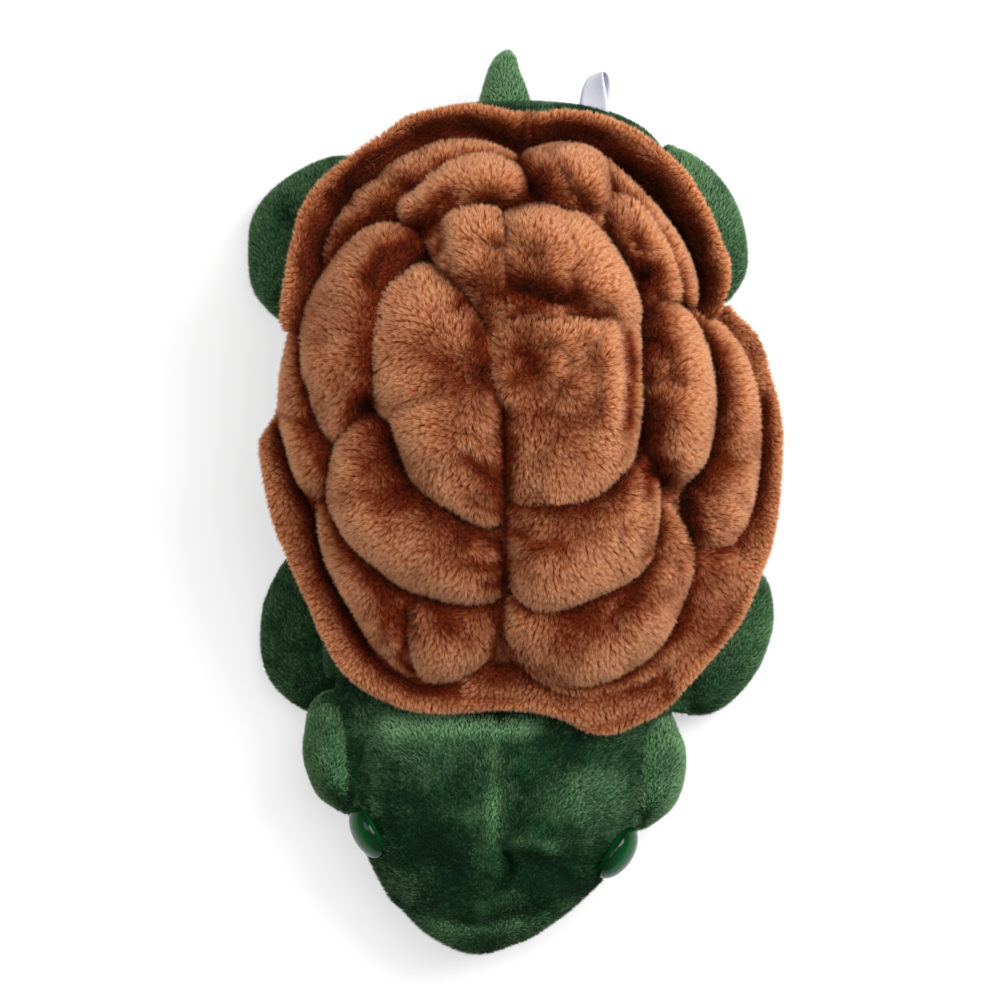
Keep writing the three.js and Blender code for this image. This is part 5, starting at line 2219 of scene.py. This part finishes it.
@dataclass
class Limbs:
    """The four flippers, the tail and the bare label."""

    plush: bpy.types.Material
    tape: bpy.types.Material
    pile: Pile
    groomer: Groomer
    level: float = 11.6
    rise: float = 12.0
    depth: float = 11.5

    def flipper(self, flipper: Flipper, number: int) -> bpy.types.Object:
        """Makes one stuffed flipper."""

        def at_root(plan: Array) -> Array:
            return np.abs(plan[:, 0]) < flipper.root

        def narrower(plan: Array) -> Array:
            return 1 - 0.22 * ease((flipper.root + 6 - np.abs(plan[:, 0])) / 6)

        form = StuffedForm(
            f"{flipper.name}_plush",
            VIEW.plan(flipper.outline, 12.0),
            lambda plan: np.full(len(plan), self.level),
            self.rise,
            self.depth,
            fullness=1.6,
            free=at_root,
            shape=narrower,
            spacing=2.2,
            bumps=0.7,
            seed=80 + number,
        )
        thing = form.build()
        self.groomer.take(
            thing,
            f"{flipper.name}_pile",
            self.pile,
            brushed_back,
            riding(flipper.name),
            tone=flipper.tone,
        )
        nodes = (f"{flipper.name}_{part}" for part in ("top", "bottom", "filling"))
        dress(thing, self.plush, flipper.name, "body_plush", *nodes)
        return thing

    def tail(self) -> bpy.types.Object:
        """Makes the tapered, slightly bent tail."""
        spine = smooth_path(
            np.array([(-2.6, 129, 23, 9.3, 8.6), (-3.0, 134, 23.6, 8.2, 8.4), (-3.2, 140, 24.2, 6.4, 7.2),
                      (-3.4, 145, 24.6, 4.6, 5.6), (-2.8, 149, 24.8, 3.0, 3.6), (-2.2, 150.8, 24.8, 1.2, 1.4)]),
            1.2,
            False,
        )
        count = 40
        corners = []
        for x, y, z, across, up in spine:
            for j in range(count):
                a = FULL_TURN * j / count
                corners.append((x + across * math.cos(a), y, z + up * math.sin(a)))
        faces = [(a, d, c, b) for a, b, c, d in quads(len(spine), count)]
        first, last = len(corners), len(corners) + 1
        corners.append(tuple(spine[0][:3]))
        corners.append((spine[-1][0], spine[-1][1] + 0.5, spine[-1][2]))
        n = (len(spine) - 1) * count
        for j in range(count):
            k = (j + 1) % count
            faces += [(j, k, first), (n + k, n + j, last)]
        thing = mesh_object("tail_plush", np.array(corners), faces)
        face_outwards(thing)
        # Its pale pile is partly painted light, where the main lamp falls.
        self.groomer.take(thing, "tail_pile", self.pile, brushed_back, riding("tail"), tone=0.78)
        dress(thing, self.plush, "tail", "body_plush", "tail_cover", "tail_filling")
        return thing

    def label(self) -> bpy.types.Object:
        """Makes the bare folded loop of woven tape sewn in beside the tail."""
        length, half, steps, across = 14.0, 5.4, 41, 9
        corners = []
        for i in range(steps):
            back = 2 * i / (steps - 1) - 1
            out = 1 - abs(back)
            gap = (0.25 * (1 - out) + 1.3 * math.sin(math.pi * out)) * (1 if back < 0 else -1)
            lean = math.radians(20 + 64 * out)
            for j in range(across):
                side = half * (2 * j / (across - 1) - 1)
                x = 26.6 + 2.4 * out + side * math.cos(lean) - gap * math.sin(lean)
                z = 28.4 + 0.8 * out + side * math.sin(lean) + gap * math.cos(lean)
                corners.append((x, 130.0 + length * math.sin(out * math.pi / 2), z))
        faces = [f[::-1] for f in quads(steps, across, around=False)]
        thing = thicken(mesh_object("label_tape_loop", np.array(corners), faces), 0.3, 0.0)
        dress(thing, self.tape, "body", "label_tape", "care_label")
        return thing

    def build(self) -> None:
        """Makes all of them."""
        for number, flipper in enumerate(FLIPPERS):
            self.flipper(flipper, number)
        self.tail()
        self.label()
        LOG.info("limbs: four flippers, tail and label")


# ---- Studio ----


@dataclass
class Studio:
    """The pale floor, the soft lamps and the camera above the toy."""

    def floor(self) -> None:
        """Lays a plain pale floor."""
        bpy.ops.mesh.primitive_plane_add(size=6.0, location=(0, 0, -0.0004))
        floor = bpy.context.object
        floor.name = "studio_floor"
        made, add = empty_material("pale_paper_floor")
        paper = add("ShaderNodeBsdfPrincipled", Base_Color=(0.93, 0.93, 0.93, 1), Roughness=0.9)
        ray = add("ShaderNodeLightPath").outputs
        seen = add("ShaderNodeMath", {"operation": "MAXIMUM"}, i0=ray["Is Camera Ray"], i1=ray["Is Glossy Ray"])
        clear = add("ShaderNodeMath", {"operation": "MAXIMUM"}, i0=seen, i1=ray["Is Transmission Ray"])
        half = add("ShaderNodeMath", {"operation": "MULTIPLY"}, i0=clear, i1=0.5)
        blend = add("ShaderNodeMixShader", i0=half, i1=paper, i2=add("ShaderNodeEmission", Strength=1.0))
        add("ShaderNodeOutputMaterial", Surface=blend)
        floor.data.materials.append(made)

    def lamps(self) -> None:
        """Hangs the soft lamps and lights the room evenly."""
        world = bpy.data.worlds.new("room")
        bpy.context.scene.world = world
        world.use_nodes = True
        world.node_tree.nodes["Background"].inputs["Color"].default_value = (1, 1, 1, 1)
        world.node_tree.nodes["Background"].inputs["Strength"].default_value = 0.36
        for name, place, size, power in (
            ("window_right", (0.85, 0.5, 1.15), 0.8, 25.0),
            ("window_left", (-0.8, 0.1, 1.1), 0.7, 5.0),
            ("overhead", (0.2, 0.3, 1.6), 0.9, 12.0),
        ):
            data = bpy.data.lights.new(name, "AREA")
            data.size = size
            data.energy = power
            lamp = bpy.data.objects.new(name, data)
            lamp.location = place
            lamp.rotation_euler = (Vector((0, 0, 0.05)) - Vector(place)).to_track_quat("-Z", "Y").to_euler()
            bpy.context.scene.collection.objects.link(lamp)

    def camera(self) -> None:
        """Hangs the camera where the photograph was taken from."""
        data = bpy.data.cameras.new("camera")
        data.sensor_width = 36.0
        data.lens = 36.0 * (VIEW.height - VIEW.level) / (1000 * VIEW.pixel)
        data.clip_start = 0.05
        data.clip_end = 20.0
        camera = bpy.data.objects.new("camera", data)
        camera.location = (VIEW.x * METRE, VIEW.y * METRE, VIEW.height * METRE)
        bpy.context.scene.collection.objects.link(camera)
        bpy.context.scene.camera = camera

    def build(self) -> None:
        """Sets up the whole studio."""
        self.floor()
        self.lamps()
        self.camera()
        bpy.context.scene.view_settings.view_transform = "Standard"


def plain_material(name: str, colour: str, roughness: float) -> bpy.types.Material:
    """Builds a plain moulded or woven material.

    Args:
        name: The material's name.
        colour: An sRGB hex colour.
        roughness: Its roughness.

    Returns:
        The material.
    """
    made, add = empty_material(name)
    shader = add("ShaderNodeBsdfPrincipled", Base_Color=linear(colour), Roughness=roughness)
    add("ShaderNodeOutputMaterial", Surface=shader)
    return made


def main() -> None:
    """Builds the toy piece by piece."""
    logging.basicConfig(level=logging.INFO, format="%(name)s: %(message)s")
    Studio().build()
    brown = PlushCloth("brushed_polyester_plush_brown", "340b03", "5e2209", "87401a").material()
    green = PlushCloth("short_polyester_plush_green", "051a0a", "112f19", "264f2d").material()
    lining = PlushCloth("plain_woven_polyester_lining", "1c2a1f", "26362a", "34473a", patch=30, tuft=0.7).material()
    mouth = PlushCloth("short_polyester_plush_mouth", "1d3220", "29452c", "3d5c3e").material()
    # Each fibre's three ramps are its colour in deep painted shade, in painted shade and in painted light.
    brown_fibre = PileFibre(
        "brushed_polyester_fibre_brown",
        ("120100", "250600", "3a0f01"),
        ("240500", "581804", "8a3611"),
        ("68270b", "ac6233", "e3ae88"),
    ).material()
    green_fibre = PileFibre(
        "brushed_polyester_fibre_green",
        ("000502", "03120a", "08230f"),
        ("010b04", "07210e", "123d1e"),
        ("1f4424", "5c8a58", "b0d2a4"),
    ).material()
    groomer = Groomer()
    shell_pile = Pile(2.9, 0.28, 10.5, 1.2, 0.40, 1.6, 0.76, brown_fibre)
    rim_pile = Pile(2.3, 0.28, 10.5, 1.3, 0.38, 1.5, 0.62, brown_fibre)
    green_pile = Pile(1.6, 0.25, 8.5, 1.25, 0.42, 1.1, 0.5, green_fibre)
    Shell(brown, lining, shell_pile, rim_pile, groomer).build()
    GloveBody(green, lining, green_pile, groomer).build()
    eye = EyeGlass("polished_green_acrylic_eye", "020503", "04421a", "02200c").material()
    washer = plain_material("moulded_nylon_washer", "e6e6e2", 0.5)
    Head(green, mouth, eye, washer, green_pile, groomer).build()
    Limbs(green, plain_material("woven_satin_tape", "d4d4e0", 0.55), green_pile, groomer).build()
    groomer.groom()


if __name__ == "__main__":
    main()
